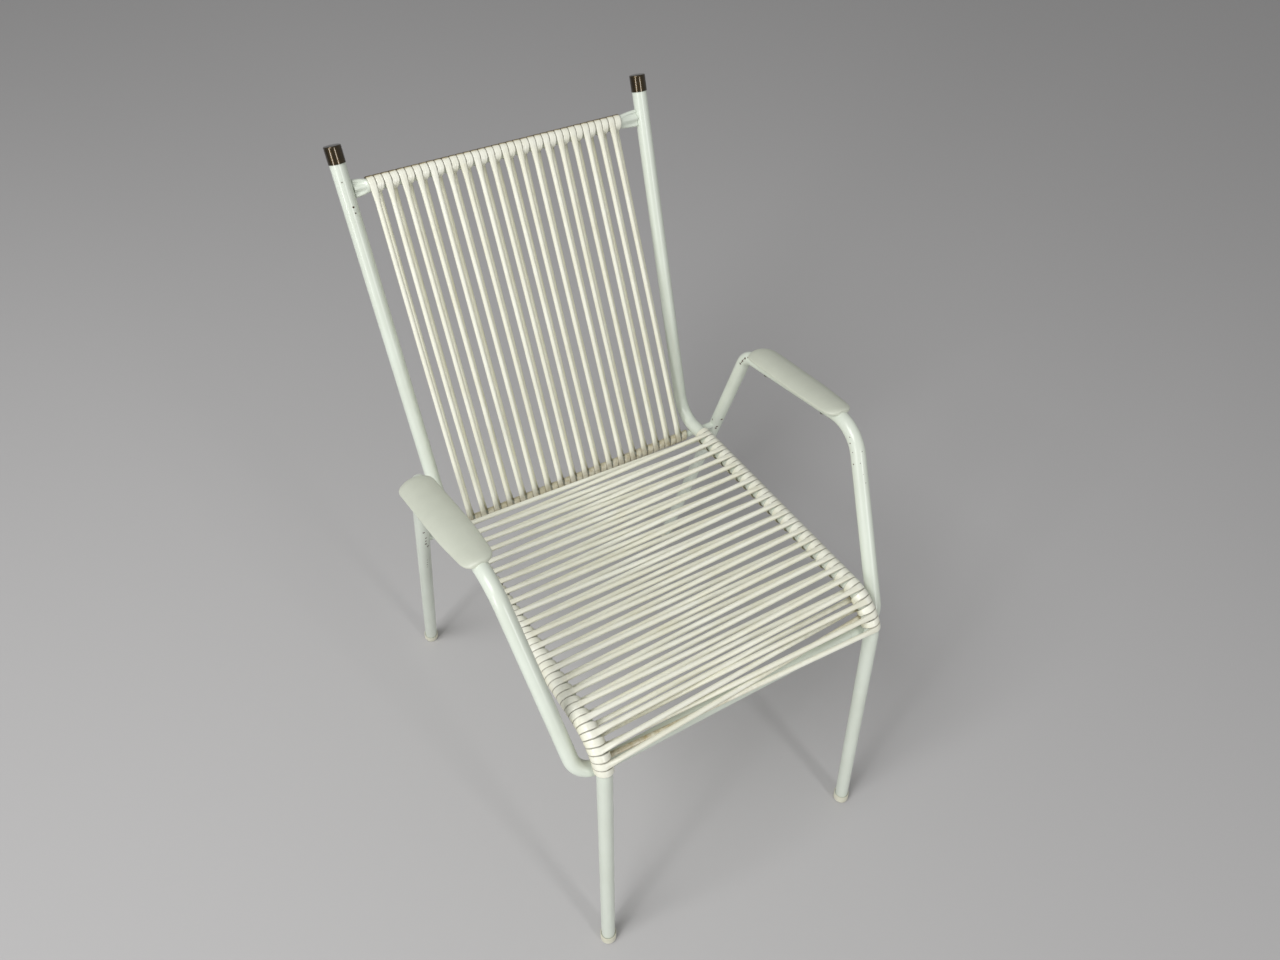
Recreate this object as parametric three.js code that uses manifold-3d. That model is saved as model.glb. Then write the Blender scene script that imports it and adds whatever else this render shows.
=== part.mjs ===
// Garden armchair of welded steel tube. Two bent side tubes carry the seat and the back, two bent arm tubes
// stand outside them as rear legs and arms, and three cross rails tie the four tubes together. One PVC cord
// is wound over the seat rails and another between the top back rail and the rear cross rail.
// Millimetres. X runs across the chair, Y from front to back and Z up from the floor.

import * as THREE from 'three';
import { mergeVertices } from 'three/addons/utils/BufferGeometryUtils.js';
import Module from 'manifold-3d';

// Tube stock for the bent tubes and the front cross rail, thinner tube for the top rail, rod for the rear rail.
const TUBE_DIAMETER = 19;
const TOP_RAIL_DIAMETER = 16;
const ROD_DIAMETER = 10;
const TUBE_WALL = 1.2;
const TUBE_SIDES = 12;
const BEND_STEPS = 8;

// Clearance left where two pieces touch.
const JOINT_GAP = 0.3;

// Side tubes: front leg, seat rail and back post. Widths are between the axes of the two tubes.
const FRONT_FEET_WIDTH = 413;
const SEAT_FRONT_WIDTH = 380;
const SEAT_REAR_WIDTH = 394;
const POST_TOP_WIDTH = 402;
const FRONT_LEG_RAKE = 57.7;
const SEAT_RAIL_REACH = 450.3;
const BACK_RAKE = 183.7;
const SEAT_FRONT_HEIGHT = 456;
const SEAT_REAR_HEIGHT = 395.7;
const POST_TOP_HEIGHT = 848.3;
const FRONT_BEND_RADIUS = 50;
const REAR_BEND_RADIUS = 42;

// Arm tubes: rear leg, arm, front upright and a toe turned in behind the front leg.
// Outsets are measured outward from the seat rail, reaches back from the front feet.
const REAR_FOOT_OUTSET = 38.5;
const ARM_REAR_OUTSET = 43.7;
const ARM_FRONT_OUTSET = 49.8;
const TOE_OUTSET = 26;
const REAR_FOOT_REACH = 574.8;
const ARM_REAR_REACH = 432.8;
const ARM_FRONT_REACH = 212.9;
const ARM_REAR_HEIGHT = 556.8;
const ARM_FRONT_HEIGHT = 615.2;
const ARM_REAR_BEND_RADIUS = 32;
const ARM_FRONT_BEND_RADIUS = 52;
const TOE_BEND_RADIUS = 28;
const TOE_OVERRUN = 22;

// Cross rails.
const FRONT_RAIL_DROP = 56;
const TOP_RAIL_DROP = 51.5;
const PINCH_LENGTH = 20;
const PINCH_HEIGHT = 22;
const PINCH_DEPTH = 9;
const PINCH_CREASE = 0.35;
const PINCH_STEPS = 4;

// Brass sleeves on the posts.
const CAP_WALL = 0.5;
const CAP_HEIGHT = 20;
const CAP_TOP = 2;
const CAP_EDGE = 1;
const CAP_SIDES = 16;

// Plastic ferrules on the legs: a sleeve with a domed end, worn flat where it meets the floor.
const FOOT_WALL = 1.2;
const FOOT_SLEEVE_HEIGHT = 14;
const FOOT_FLOOR = 2.5;
const FOOT_DOME_HEIGHT = 4.5;
const FOOT_WORN_DEPTH = 1.2;
const FOOT_EDGE = 0.7;
const FOOT_SIDES = 16;
const DOME_STEPS = 4;

// Moulded arm pads.
const PAD_LENGTH = 193;
const PAD_WIDTH = 44;
const PAD_FRONT_WIDTH = 37;
const PAD_TAPER = 75;
const PAD_THICKNESS = 9.5;
const PAD_EDGE = 5;
const PAD_SADDLE = 5;
const PAD_SHIFT = 3;
const PAD_OUTSET = 4;
const PAD_TOE_OUT = 3;
const PAD_ROLL = 4;
const PAD_REAR_ROUND = 22;
const PAD_FRONT_ROUND = 24;
const PAD_END_STEPS = 5;

// Screws that hold the pads, driven up through the arm tubes.
const SCREW_DIAMETER = 4;
const SCREW_HEAD_DIAMETER = 8;
const SCREW_HEAD_HEIGHT = 2.6;
const SCREW_BITE = 3;
const SCREW_SPACING = 120;
const SCREW_SIDES = 10;

// PVC cord: round in the open strands, pressed flat where it goes round a rail.
const CORD_DIAMETER = 6.5;
const CORD_FLAT_WIDTH = 8.8;
const CORD_FLAT_THICKNESS = 3;
const CORD_LEAD = 14;
const CORD_SIDES = 5;
const CORD_RAIL_GAP = 0.6;
const CORD_SIDE_GAP = 0.9;
const WRAP_STEPS = 8;
const END_WRAP_STEPS = 3;
const RETURN_WRAP_STEPS = 6;
const WRAP_LEAD_ANGLE = 20;
const SEAT_PITCH = 19.2;
const SEAT_CORD_SETBACK = 28;
const SEAT_SAG = 8.5;
const BACK_PITCH = 18.5;
const BACK_CORD_MARGIN = 21.5;
const BACK_CORD_SHIFT = -9;

// Where a cord lies along its rail at each half turn round it, in pitches past the open strand it follows.
const SEAT_FAR_LAY = [0, 0.4, 0.5, 0.9];
const SEAT_NEAR_LAY = [0.9, 1.5, 0.4, 1];
const BACK_FAR_LAY = [0, 0.3, 0.5, 0.8];
const BACK_NEAR_LAY = [0.5, 0.5, 1, 1];

// Fineness of the searches, of the self-gap measurement and of joined corners.
const NEAREST_STEPS_PER_MM = 4;
const SLIDE_STEPS = 20;
const SLIDE_SAMPLES = 100;
const GAP_SAMPLE_STEP = 2;
const GAP_SEARCH = 6;
const CORNER_MERGE = 1e-4;

const TUBE_RADIUS = TUBE_DIAMETER / 2;
const TOP_RAIL_RADIUS = TOP_RAIL_DIAMETER / 2;
const ROD_RADIUS = ROD_DIAMETER / 2;
const ACROSS = new THREE.Vector3(1, 0, 0);
const UP = new THREE.Vector3(0, 0, 1);
const SIDES = { left: -1, right: 1 };

const manifold = await Module();
manifold.setup();

const paint = new THREE.MeshStandardMaterial({ name: 'painted_steel', color: '#dde5da', roughness: 0.45 });
const brass = new THREE.MeshStandardMaterial({ name: 'brass', color: '#5a4426', metalness: 0.9, roughness: 0.35 });
const ferrule = new THREE.MeshStandardMaterial({ name: 'ferrule_plastic', color: '#d8d6be', roughness: 0.55 });
const padding = new THREE.MeshStandardMaterial({ name: 'pad_plastic', color: '#c9ccbe', roughness: 0.5 });
const steel = new THREE.MeshStandardMaterial({ name: 'screw_steel', color: '#8c8c86', metalness: 0.9, roughness: 0.4 });
const vinyl = new THREE.MeshStandardMaterial({ name: 'cord_pvc', color: '#e8e4c8', roughness: 0.4 });

// Route of a bent tube: straight runs joined by round bends, measured along its length.
class BentRoute {
  constructor(corners, radii) {
    this.runs = [];
    this.length = 0;
    let from = corners[0];
    for (let i = 1; i + 1 < corners.length; i++) {
      const heading = corners[i].clone().sub(corners[i - 1]).normalize();
      const leaving = corners[i + 1].clone().sub(corners[i]).normalize();
      const turn = heading.angleTo(leaving);
      const radius = radii[i - 1];
      const bendStart = corners[i].clone().addScaledVector(heading, -radius * Math.tan(turn / 2));
      this.addLine(from, bendStart);
      from = this.addBend(bendStart, heading, leaving, turn, radius);
    }
    this.addLine(from, corners[corners.length - 1]);
  }

  addLine(from, to) {
    const heading = to.clone().sub(from);
    const length = heading.length();
    this.runs.push({ begin: this.length, length, from, heading: heading.normalize(), curvature: 0 });
    this.length += length;
  }

  addBend(from, heading, leaving, turn, radius) {
    const axis = heading.clone().cross(leaving).normalize();
    const centre = axis.clone().cross(heading).multiplyScalar(radius).add(from);
    const length = turn * radius;
    this.runs.push({ begin: this.length, length, from, heading, axis, centre, curvature: 1 / radius });
    this.length += length;
    return from.clone().sub(centre).applyAxisAngle(axis, turn).add(centre);
  }

  at(distance) {
    const run = this.runs.findLast((each) => distance >= each.begin) ?? this.runs[0];
    const along = distance - run.begin;
    if (run.curvature === 0) {
      const point = run.from.clone().addScaledVector(run.heading, along);
      return { point, heading: run.heading.clone(), curvature: 0 };
    }
    const angle = along * run.curvature;
    const point = run.from.clone().sub(run.centre).applyAxisAngle(run.axis, angle).add(run.centre);
    return { point, heading: run.heading.clone().applyAxisAngle(run.axis, angle), curvature: run.curvature };
  }

  // Distances at which a tube along this route needs a ring.
  stations() {
    const list = [0];
    for (const run of this.runs) {
      const steps = run.curvature === 0 ? 1 : BEND_STEPS;
      for (let i = 1; i <= steps; i++) {
        list.push(run.begin + run.length * i / steps);
      }
    }
    return list;
  }

  // Place along this route that comes nearest to a line across the chair, both seen from the side.
  nearestTo(line) {
    let best = { along: 0, gap: Infinity };
    const steps = Math.ceil(this.length * NEAREST_STEPS_PER_MM);
    for (let i = 0; i <= steps; i++) {
      const along = this.length * i / steps;
      const gap = sideGap(this.at(along).point, line);
      best = gap < best.gap ? { along, gap } : best;
    }
    return best;
  }
}

// Distance between two lines across the chair, seen from the side.
function sideGap(one, other) {
  return Math.hypot(one.y - other.y, one.z - other.z);
}

// The same route as a curve whose even steps fall on the stations.
class StationCurve extends THREE.Curve {
  constructor(route) {
    super();
    this.route = route;
    this.list = route.stations();
  }

  distanceAt(t) {
    const place = THREE.MathUtils.clamp(t, 0, 1) * (this.list.length - 1);
    const index = Math.min(Math.floor(place), this.list.length - 2);
    return THREE.MathUtils.lerp(this.list[index], this.list[index + 1], place - index);
  }

  getPoint(t) {
    return this.route.at(this.distanceAt(t)).point;
  }

  getTangent(t) {
    return this.route.at(this.distanceAt(t)).heading;
  }

  getUtoTmapping(u) {
    return u;
  }
}

function bentTube(route, radius) {
  const ring = new THREE.Shape().absarc(0, 0, radius, 0, 2 * Math.PI);
  ring.holes.push(new THREE.Path().absarc(0, 0, radius - TUBE_WALL, 0, 2 * Math.PI));
  const extrudePath = new StationCurve(route);
  const steps = extrudePath.list.length - 1;
  return new THREE.ExtrudeGeometry(ring, { extrudePath, steps, curveSegments: TUBE_SIDES / 2 });
}

// Closed solid over a row of rings, each a list of points in turning order about the row's direction.
function skinRings(rings) {
  const count = rings[0].length;
  const last = (rings.length - 1) * count;
  const index = [];
  for (let start = 0; start < last; start += count) {
    for (let k = 0; k < count; k++) {
      const here = start + k;
      const beside = start + (k + 1) % count;
      index.push(here, beside, here + count, beside, beside + count, here + count);
    }
  }
  for (let k = 1; k + 1 < count; k++) {
    index.push(0, k + 1, k, last, last + k, last + k + 1);
  }
  const geometry = new THREE.BufferGeometry().setFromPoints(rings.flat());
  geometry.setIndex(index);
  geometry.computeVertexNormals();
  return geometry;
}

function toSolid(geometry) {
  const bare = new THREE.BufferGeometry();
  bare.setAttribute('position', geometry.getAttribute('position'));
  bare.setIndex(geometry.getIndex());
  const merged = mergeVertices(bare, CORNER_MERGE);
  return new manifold.Manifold(new manifold.Mesh({
    numProp: 3,
    vertProperties: new Float32Array(merged.getAttribute('position').array),
    triVerts: new Uint32Array(merged.getIndex().array),
  }));
}

function toGeometry(solid) {
  const { vertProperties, triVerts } = solid.getMesh();
  const geometry = new THREE.BufferGeometry();
  geometry.setAttribute('position', new THREE.BufferAttribute(new Float32Array(vertProperties), 3));
  geometry.setIndex(new THREE.BufferAttribute(new Uint32Array(triVerts), 1));
  geometry.computeVertexNormals();
  return geometry;
}

function cut(geometry, tools) {
  let solid = toSolid(geometry);
  for (const tool of tools) {
    solid = solid.subtract(toSolid(tool));
  }
  return toGeometry(solid);
}

// Solid of revolution from a profile of [radius, height] pairs, set on an axis through a point.
function turned(profile, sides, point, axis) {
  const points = profile.map(([radius, height]) => new THREE.Vector2(radius, height));
  const geometry = new THREE.LatheGeometry(points, sides);
  const spin = new THREE.Quaternion().setFromUnitVectors(new THREE.Vector3(0, 1, 0), axis);
  geometry.applyQuaternion(spin);
  geometry.translate(point.x, point.y, point.z);
  return geometry;
}

// Corner radius of a many-sided hole whose flats clear a round piece.
function roundHole(radius, sides) {
  return (radius + JOINT_GAP) / Math.cos(Math.PI / sides);
}

function rod(from, to, radius, sides) {
  const heading = to.clone().sub(from);
  const length = heading.length();
  return turned([[0, 0], [radius, 0], [radius, length], [0, length]], sides, from, heading.normalize());
}

// Foot ferrule: the dome's centre lies on the leg axis, just high enough to wear the sole flat.
const FOOT_RADIUS = TUBE_RADIUS + JOINT_GAP + FOOT_WALL;
const DOME_RADIUS = (FOOT_RADIUS ** 2 + FOOT_DOME_HEIGHT ** 2) / (2 * FOOT_DOME_HEIGHT);
const DOME_CENTRE_HEIGHT = DOME_RADIUS - FOOT_WORN_DEPTH;
const FOOT_RIM = FOOT_DOME_HEIGHT - DOME_RADIUS;
const FOOT_BORE_END = FOOT_RIM + FOOT_FLOOR;

// Point on a leg's axis where the dome's centre lies, and the axis pointing up the leg.
function legEnd(foot, corner) {
  const axis = corner.clone().sub(foot).normalize();
  const point = foot.clone().addScaledVector(axis, DOME_CENTRE_HEIGHT / axis.z);
  return { point, axis, tubeEnd: point.clone().addScaledVector(axis, FOOT_BORE_END + JOINT_GAP) };
}

function footFerrule({ point, axis }) {
  const bore = TUBE_RADIUS + JOINT_GAP;
  const top = FOOT_RIM + FOOT_SLEEVE_HEIGHT;
  const domeAngle = Math.asin(FOOT_RADIUS / DOME_RADIUS);
  const profile = [];
  for (let i = 0; i <= DOME_STEPS; i++) {
    const angle = domeAngle * i / DOME_STEPS;
    profile.push([DOME_RADIUS * Math.sin(angle), -DOME_RADIUS * Math.cos(angle)]);
  }
  profile.push([FOOT_RADIUS, top - FOOT_EDGE], [FOOT_RADIUS - FOOT_EDGE, top], [bore, top]);
  profile.push([bore, FOOT_BORE_END], [0, FOOT_BORE_END]);
  const ground = new THREE.BoxGeometry(4 * FOOT_RADIUS, 4 * FOOT_RADIUS, 2 * FOOT_RADIUS);
  ground.translate(point.x, point.y, -FOOT_RADIUS);
  return cut(turned(profile, FOOT_SIDES, point, axis), [ground]);
}

function postCap(top, axis) {
  const bore = TUBE_RADIUS + JOINT_GAP;
  const outer = bore + CAP_WALL;
  const profile = [[0, -CAP_TOP], [bore, -CAP_TOP], [bore, -CAP_HEIGHT], [outer, -CAP_HEIGHT]];
  profile.push([outer, -CAP_EDGE], [outer - CAP_EDGE, 0], [0, 0]);
  return turned(profile, CAP_SIDES, top, axis);
}

// Side tubes, from the post's top down to the front foot.
function sideTube(side) {
  const rearY = FRONT_LEG_RAKE + SEAT_RAIL_REACH;
  const capTop = new THREE.Vector3(side * POST_TOP_WIDTH / 2, rearY + BACK_RAKE, POST_TOP_HEIGHT);
  const rearCorner = new THREE.Vector3(side * SEAT_REAR_WIDTH / 2, rearY, SEAT_REAR_HEIGHT);
  const frontCorner = new THREE.Vector3(side * SEAT_FRONT_WIDTH / 2, FRONT_LEG_RAKE, SEAT_FRONT_HEIGHT);
  const foot = new THREE.Vector3(side * FRONT_FEET_WIDTH / 2, 0, 0);
  const postAxis = capTop.clone().sub(rearCorner).normalize();
  const postEnd = capTop.clone().addScaledVector(postAxis, -CAP_TOP - JOINT_GAP);
  const leg = legEnd(foot, frontCorner);
  const route = new BentRoute([postEnd, rearCorner, frontCorner, leg.tubeEnd], [REAR_BEND_RADIUS, FRONT_BEND_RADIUS]);
  return { route, capTop, postAxis, rearCorner, frontCorner, foot, leg };
}

// Place between two others where a rail across the chair comes nearest to a side tube.
function nearestPlace(route, from, to) {
  let best = { place: from, gap: Infinity };
  for (let i = 0; i <= SLIDE_SAMPLES; i++) {
    const place = from.clone().lerp(to, i / SLIDE_SAMPLES);
    const { gap } = route.nearestTo(place);
    best = gap < best.gap ? { place, gap } : best;
  }
  return best.place;
}

// Slide a rail that lies across the chair from a clear place towards another until it touches a side tube.
function slideToTouch(route, radius, clear, buried) {
  let near = 0;
  let far = 1;
  for (let i = 0; i < SLIDE_STEPS; i++) {
    const middle = (near + far) / 2;
    const place = clear.clone().lerp(buried, middle);
    if (route.nearestTo(place).gap > TUBE_RADIUS + radius + JOINT_GAP) {
      near = middle;
    } else {
      far = middle;
    }
  }
  return clear.clone().lerp(buried, near);
}

const sideTubes = { left: sideTube(SIDES.left), right: sideTube(SIDES.right) };
const sideRoute = sideTubes.right.route;

// The front cross rail and the toes of the arm tubes lie against the backs of the front legs.
const frontRailHeight = SEAT_FRONT_HEIGHT - FRONT_RAIL_DROP;
const frontRailPlace = slideToTouch(
  sideRoute,
  TUBE_RADIUS,
  new THREE.Vector3(0, FRONT_LEG_RAKE + FRONT_BEND_RADIUS, frontRailHeight),
  new THREE.Vector3(0, FRONT_LEG_RAKE * frontRailHeight / SEAT_FRONT_HEIGHT, frontRailHeight),
);
const toeEnd = THREE.MathUtils.lerp(FRONT_FEET_WIDTH, SEAT_FRONT_WIDTH, frontRailHeight / SEAT_FRONT_HEIGHT) / 2
  - TOE_OVERRUN;

function armTube(side) {
  const rearX = SEAT_REAR_WIDTH / 2;
  const frontX = SEAT_FRONT_WIDTH / 2;
  const foot = new THREE.Vector3(side * (rearX + REAR_FOOT_OUTSET), REAR_FOOT_REACH, 0);
  const rearCorner = new THREE.Vector3(side * (rearX + ARM_REAR_OUTSET), ARM_REAR_REACH, ARM_REAR_HEIGHT);
  const frontCorner = new THREE.Vector3(side * (frontX + ARM_FRONT_OUTSET), ARM_FRONT_REACH, ARM_FRONT_HEIGHT);
  const toeCorner = frontRailPlace.clone().setX(side * (frontX + TOE_OUTSET));
  const toe = frontRailPlace.clone().setX(side * toeEnd);
  const leg = legEnd(foot, rearCorner);
  const corners = [leg.tubeEnd, rearCorner, frontCorner, toeCorner, toe];
  const route = new BentRoute(corners, [ARM_REAR_BEND_RADIUS, ARM_FRONT_BEND_RADIUS, TOE_BEND_RADIUS]);
  return { route, foot, rearCorner, frontCorner, leg, side };
}

const armTubes = { left: armTube(SIDES.left), right: armTube(SIDES.right) };

// The rear cross rail is raised along the rear legs until the side tubes rest on it.
const rearLeg = armTubes.right;
const rearRailRest = nearestPlace(sideRoute, rearLeg.foot, rearLeg.rearCorner);
const rearRailPlace = slideToTouch(sideRoute, ROD_RADIUS, rearLeg.foot, rearRailRest);

function frontCrossRail() {
  const half = toeEnd - JOINT_GAP;
  const ends = [frontRailPlace.clone().setX(-half), frontRailPlace.clone().setX(half)];
  return bentTube(new BentRoute(ends, []), TUBE_RADIUS);
}

// The rear cross rail is a solid rod whose ends are cut to the shape of the rear legs.
function rearCrossRail() {
  const legs = Object.values(armTubes).map(({ foot, rearCorner }) => (
    rod(foot, rearCorner, roundHole(TUBE_RADIUS, CAP_SIDES), CAP_SIDES)
  ));
  const bar = rod(rearRailPlace.clone().setX(-rearRailPlace.x), rearRailPlace, ROD_RADIUS, TUBE_SIDES);
  return cut(bar, legs);
}

// Top back rail: round over most of its length, squashed and creased at both ends against the posts.
const postPlace = sideTubes.right.capTop.clone().addScaledVector(sideTubes.right.postAxis, -TOP_RAIL_DROP);
const topRailHalf = postPlace.x - TUBE_RADIUS - JOINT_GAP;
const backRise = postPlace.clone().sub(rearRailPlace).setX(0).normalize();
const backFace = ACROSS.clone().cross(backRise);

function pinchedRing(x, inset, pinch) {
  const depth = THREE.MathUtils.lerp(TOP_RAIL_RADIUS, PINCH_DEPTH / 2, pinch);
  const height = THREE.MathUtils.lerp(TOP_RAIL_RADIUS, PINCH_HEIGHT / 2, pinch) - inset;
  const ring = [];
  for (let k = 0; k < TUBE_SIDES; k++) {
    const angle = 2 * Math.PI * k / TUBE_SIDES;
    const crease = 1 - PINCH_CREASE * pinch * Math.cos(angle) ** 2;
    const forward = (depth * crease - inset) * Math.cos(angle);
    const point = postPlace.clone().setX(x).addScaledVector(backFace, forward);
    ring.push(point.addScaledVector(backRise, -height * Math.sin(angle)));
  }
  return ring;
}

function pinchedTube(inset, overrun) {
  const row = [];
  for (let i = 0; i <= PINCH_STEPS; i++) {
    const share = i / PINCH_STEPS;
    const pinch = THREE.MathUtils.smoothstep(1 - share, 0, 1);
    const reach = topRailHalf - PINCH_LENGTH * share + (i === 0 ? overrun : 0);
    row.push({ x: -reach, pinch }, { x: reach, pinch });
  }
  row.sort((one, other) => one.x - other.x);
  return skinRings(row.map(({ x, pinch }) => pinchedRing(x, inset, pinch)));
}

function topBackRail() {
  return cut(pinchedTube(0, 0), [pinchedTube(TUBE_WALL, TUBE_WALL)]);
}

// Arm pad: a crowned tongue that lies along the arm, with the tube let into its underside.
function padFrame({ route, side }) {
  const arm = route.runs[2];
  const middle = arm.from.clone().addScaledVector(arm.heading, arm.length / 2 + PAD_SHIFT);
  const level = UP.clone().addScaledVector(arm.heading, -UP.dot(arm.heading)).normalize();
  const up = level.applyAxisAngle(arm.heading, -side * THREE.MathUtils.degToRad(PAD_ROLL));
  const length = arm.heading.clone().applyAxisAngle(up, -side * THREE.MathUtils.degToRad(PAD_TOE_OUT));
  const width = length.clone().cross(up);
  const centre = middle.clone().addScaledVector(width, -side * PAD_OUTSET);
  return { middle, centre, heading: arm.heading, up, length, width };
}

function padHalfWidth(along) {
  const rear = Math.max(0, 1 - along / PAD_REAR_ROUND);
  const front = Math.max(0, 1 - (PAD_LENGTH - along) / PAD_FRONT_ROUND);
  const taper = THREE.MathUtils.smoothstep(along, PAD_LENGTH - PAD_TAPER, PAD_LENGTH);
  const half = THREE.MathUtils.lerp(PAD_WIDTH, PAD_FRONT_WIDTH, taper) / 2;
  return half * Math.cbrt(1 - rear ** 3) * Math.cbrt(1 - front ** 3);
}

// Distances from the pad's rear end at which its outline needs a section.
function padStations() {
  const list = [PAD_LENGTH - PAD_TAPER, PAD_LENGTH - (PAD_TAPER + PAD_FRONT_ROUND) / 2];
  for (let i = 1; i <= PAD_END_STEPS; i++) {
    const share = (i / PAD_END_STEPS) ** 2;
    list.push(PAD_REAR_ROUND * share, PAD_LENGTH - PAD_FRONT_ROUND * share);
  }
  return list.sort((one, other) => one - other);
}

// Half of a pad's section as [share of the half width, share of the edge, share of the crown].
const PAD_SECTION = [[0, 1, 1], [0.5, 1, 0.75], [0.93, 1, 0], [1, 0.6, 0], [0.95, 0, 0]];

function padRing(frame, along) {
  const base = TUBE_RADIUS - PAD_SADDLE;
  const half = padHalfWidth(along);
  const crownHeight = (PAD_THICKNESS - PAD_EDGE) * half / (PAD_WIDTH / 2);
  const place = ([wide, edge, crown]) => {
    const point = frame.centre.clone().addScaledVector(frame.length, along - PAD_LENGTH / 2);
    point.addScaledVector(frame.width, wide * half);
    return point.addScaledVector(frame.up, base + edge * PAD_EDGE + crown * crownHeight);
  };
  const mirrored = PAD_SECTION.slice(1).reverse().map(([wide, edge, crown]) => [-wide, edge, crown]);
  return [...PAD_SECTION, ...mirrored].map(place);
}

function armPad(frame) {
  const reach = frame.heading.clone().multiplyScalar(PAD_LENGTH);
  const rear = frame.middle.clone().sub(reach);
  const front = frame.middle.clone().add(reach);
  const saddle = rod(rear, front, roundHole(TUBE_RADIUS, CAP_SIDES), CAP_SIDES);
  return cut(skinRings(padStations().map((along) => padRing(frame, along))), [saddle, ...screwHoles(frame)]);
}

// Pad screws: heights are measured up the screw from the tube's axis.
const SCREW_SEAT = -TUBE_RADIUS - JOINT_GAP;
const SCREW_TIP = TUBE_RADIUS + JOINT_GAP + SCREW_BITE;

function screwPlaces({ middle, heading }) {
  const front = middle.clone().addScaledVector(heading, SCREW_SPACING / 2);
  const rear = middle.clone().addScaledVector(heading, -SCREW_SPACING / 2);
  return { front, rear };
}

function padScrew(point, up) {
  const shank = SCREW_DIAMETER / 2;
  const head = SCREW_HEAD_DIAMETER / 2;
  const profile = [[0, SCREW_SEAT - SCREW_HEAD_HEIGHT], [head / 2, SCREW_SEAT - SCREW_HEAD_HEIGHT]];
  profile.push([head, SCREW_SEAT - SCREW_HEAD_HEIGHT / 2], [head, SCREW_SEAT], [shank, SCREW_SEAT]);
  profile.push([shank, SCREW_TIP - shank], [0, SCREW_TIP]);
  return turned(profile, SCREW_SIDES, point, up);
}

function screwHoles(frame) {
  const bore = roundHole(SCREW_DIAMETER / 2, SCREW_SIDES);
  return Object.values(screwPlaces(frame)).map((point) => {
    const bottom = point.clone().addScaledVector(frame.up, SCREW_SEAT - SCREW_HEAD_HEIGHT);
    const top = point.clone().addScaledVector(frame.up, SCREW_TIP + JOINT_GAP);
    return rod(bottom, top, bore, SCREW_SIDES);
  });
}

// Distance from a rail's centre to the cord's where an open strand leaves the rail.
function strandReach(railRadius) {
  return railRadius + CORD_RAIL_GAP + CORD_FLAT_THICKNESS / 2;
}

// Cord wound between two rails. A guide gives, at a distance along its rail, the rail's centre and radius, the side
// its open strands lie on, the way out from the other rail and how tightly the rail bends away from the strands.
// A cord that returns goes back behind its last open strand and ends on the near rail.
function windCord({ near, far, nearLay, farLay, loops, pitch, sag, returns }) {
  const lead = THREE.MathUtils.degToRad(WRAP_LEAD_ANGLE);
  const halfStep = (3 * Math.PI - 2 * lead) / WRAP_STEPS / 2;
  const flatOfSection = Math.cos(Math.PI / CORD_SIDES) * CORD_FLAT_THICKNESS / 2;
  const wrapReach = (radius) => (radius + CORD_RAIL_GAP) / Math.cos(halfStep) + flatOfSection;
  const course = [];

  const addStrandEnd = (guide, angle, place, inboard) => {
    const { centre, radius, face, outer } = guide(place);
    const radial = face.clone().multiplyScalar(Math.round(Math.cos(angle)));
    const point = centre.addScaledVector(radial, strandReach(radius)).addScaledVector(outer, -inboard);
    course.push({ point, radial, thickness: CORD_DIAMETER, width: CORD_DIAMETER });
  };

  // The lowest place of an open strand that sags between the rails.
  const addSag = (place) => {
    const { centre, radius, face } = far(place);
    const point = centre.lerp(near(place).centre, 0.5).addScaledVector(face, strandReach(radius) - sag);
    course.push({ point, radial: face, thickness: CORD_DIAMETER, width: CORD_DIAMETER });
  };

  // Round a rail by half turns, with an open strand coming in before and one going out after.
  const addWrap = (guide, fromAngle, sense, places, steps) => {
    const halfTurns = places.length - 1;
    addStrandEnd(guide, fromAngle, places[0], CORD_LEAD);
    for (let i = 0; i <= steps; i++) {
      const turn = THREE.MathUtils.lerp(lead, halfTurns * Math.PI - lead, i / steps);
      const whole = Math.floor(turn / Math.PI);
      const place = THREE.MathUtils.lerp(places[whole], places[whole + 1], turn / Math.PI - whole);
      const angle = fromAngle + sense * turn;
      const { centre, radius, face, outer, curvature } = guide(place);
      const reach = wrapReach(radius);
      const radial = face.clone().multiplyScalar(Math.cos(angle)).addScaledVector(outer, Math.sin(angle));
      const room = pitch / 2 * (1 + curvature * reach * Math.cos(angle)) - CORD_SIDE_GAP;
      const width = Math.min(CORD_FLAT_WIDTH, room);
      const point = centre.addScaledVector(radial, reach);
      course.push({ point, radial, thickness: CORD_FLAT_THICKNESS, width });
    }
    addStrandEnd(guide, fromAngle + sense * halfTurns * Math.PI, places[halfTurns], CORD_LEAD);
  };

  const placesFrom = (strand, lay) => lay.map((share) => (strand + share) * pitch);
  const tail = CORD_LEAD + CORD_DIAMETER;
  const firstPlaces = placesFrom(-1, nearLay).slice(-2);
  const lastPlaces = placesFrom(loops - 1, farLay);
  addStrandEnd(near, Math.PI, firstPlaces[0], tail);
  addWrap(near, Math.PI, -1, firstPlaces, END_WRAP_STEPS);
  for (let k = 0; k < loops; k++) {
    if (sag > 0) {
      addSag(k * pitch);
    }
    if (k + 1 < loops) {
      addWrap(far, 0, 1, placesFrom(k, farLay), WRAP_STEPS);
      addWrap(near, Math.PI, -1, placesFrom(k, nearLay), WRAP_STEPS);
    }
  }
  if (returns) {
    addWrap(far, 0, 1, lastPlaces, WRAP_STEPS);
    addWrap(near, Math.PI, -1, placesFrom(loops - 1, nearLay).slice(0, 3), RETURN_WRAP_STEPS);
  } else {
    addWrap(far, 0, 1, lastPlaces.slice(0, 2), END_WRAP_STEPS);
    addStrandEnd(far, Math.PI, lastPlaces[1], tail);
  }
  return course;
}

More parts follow.
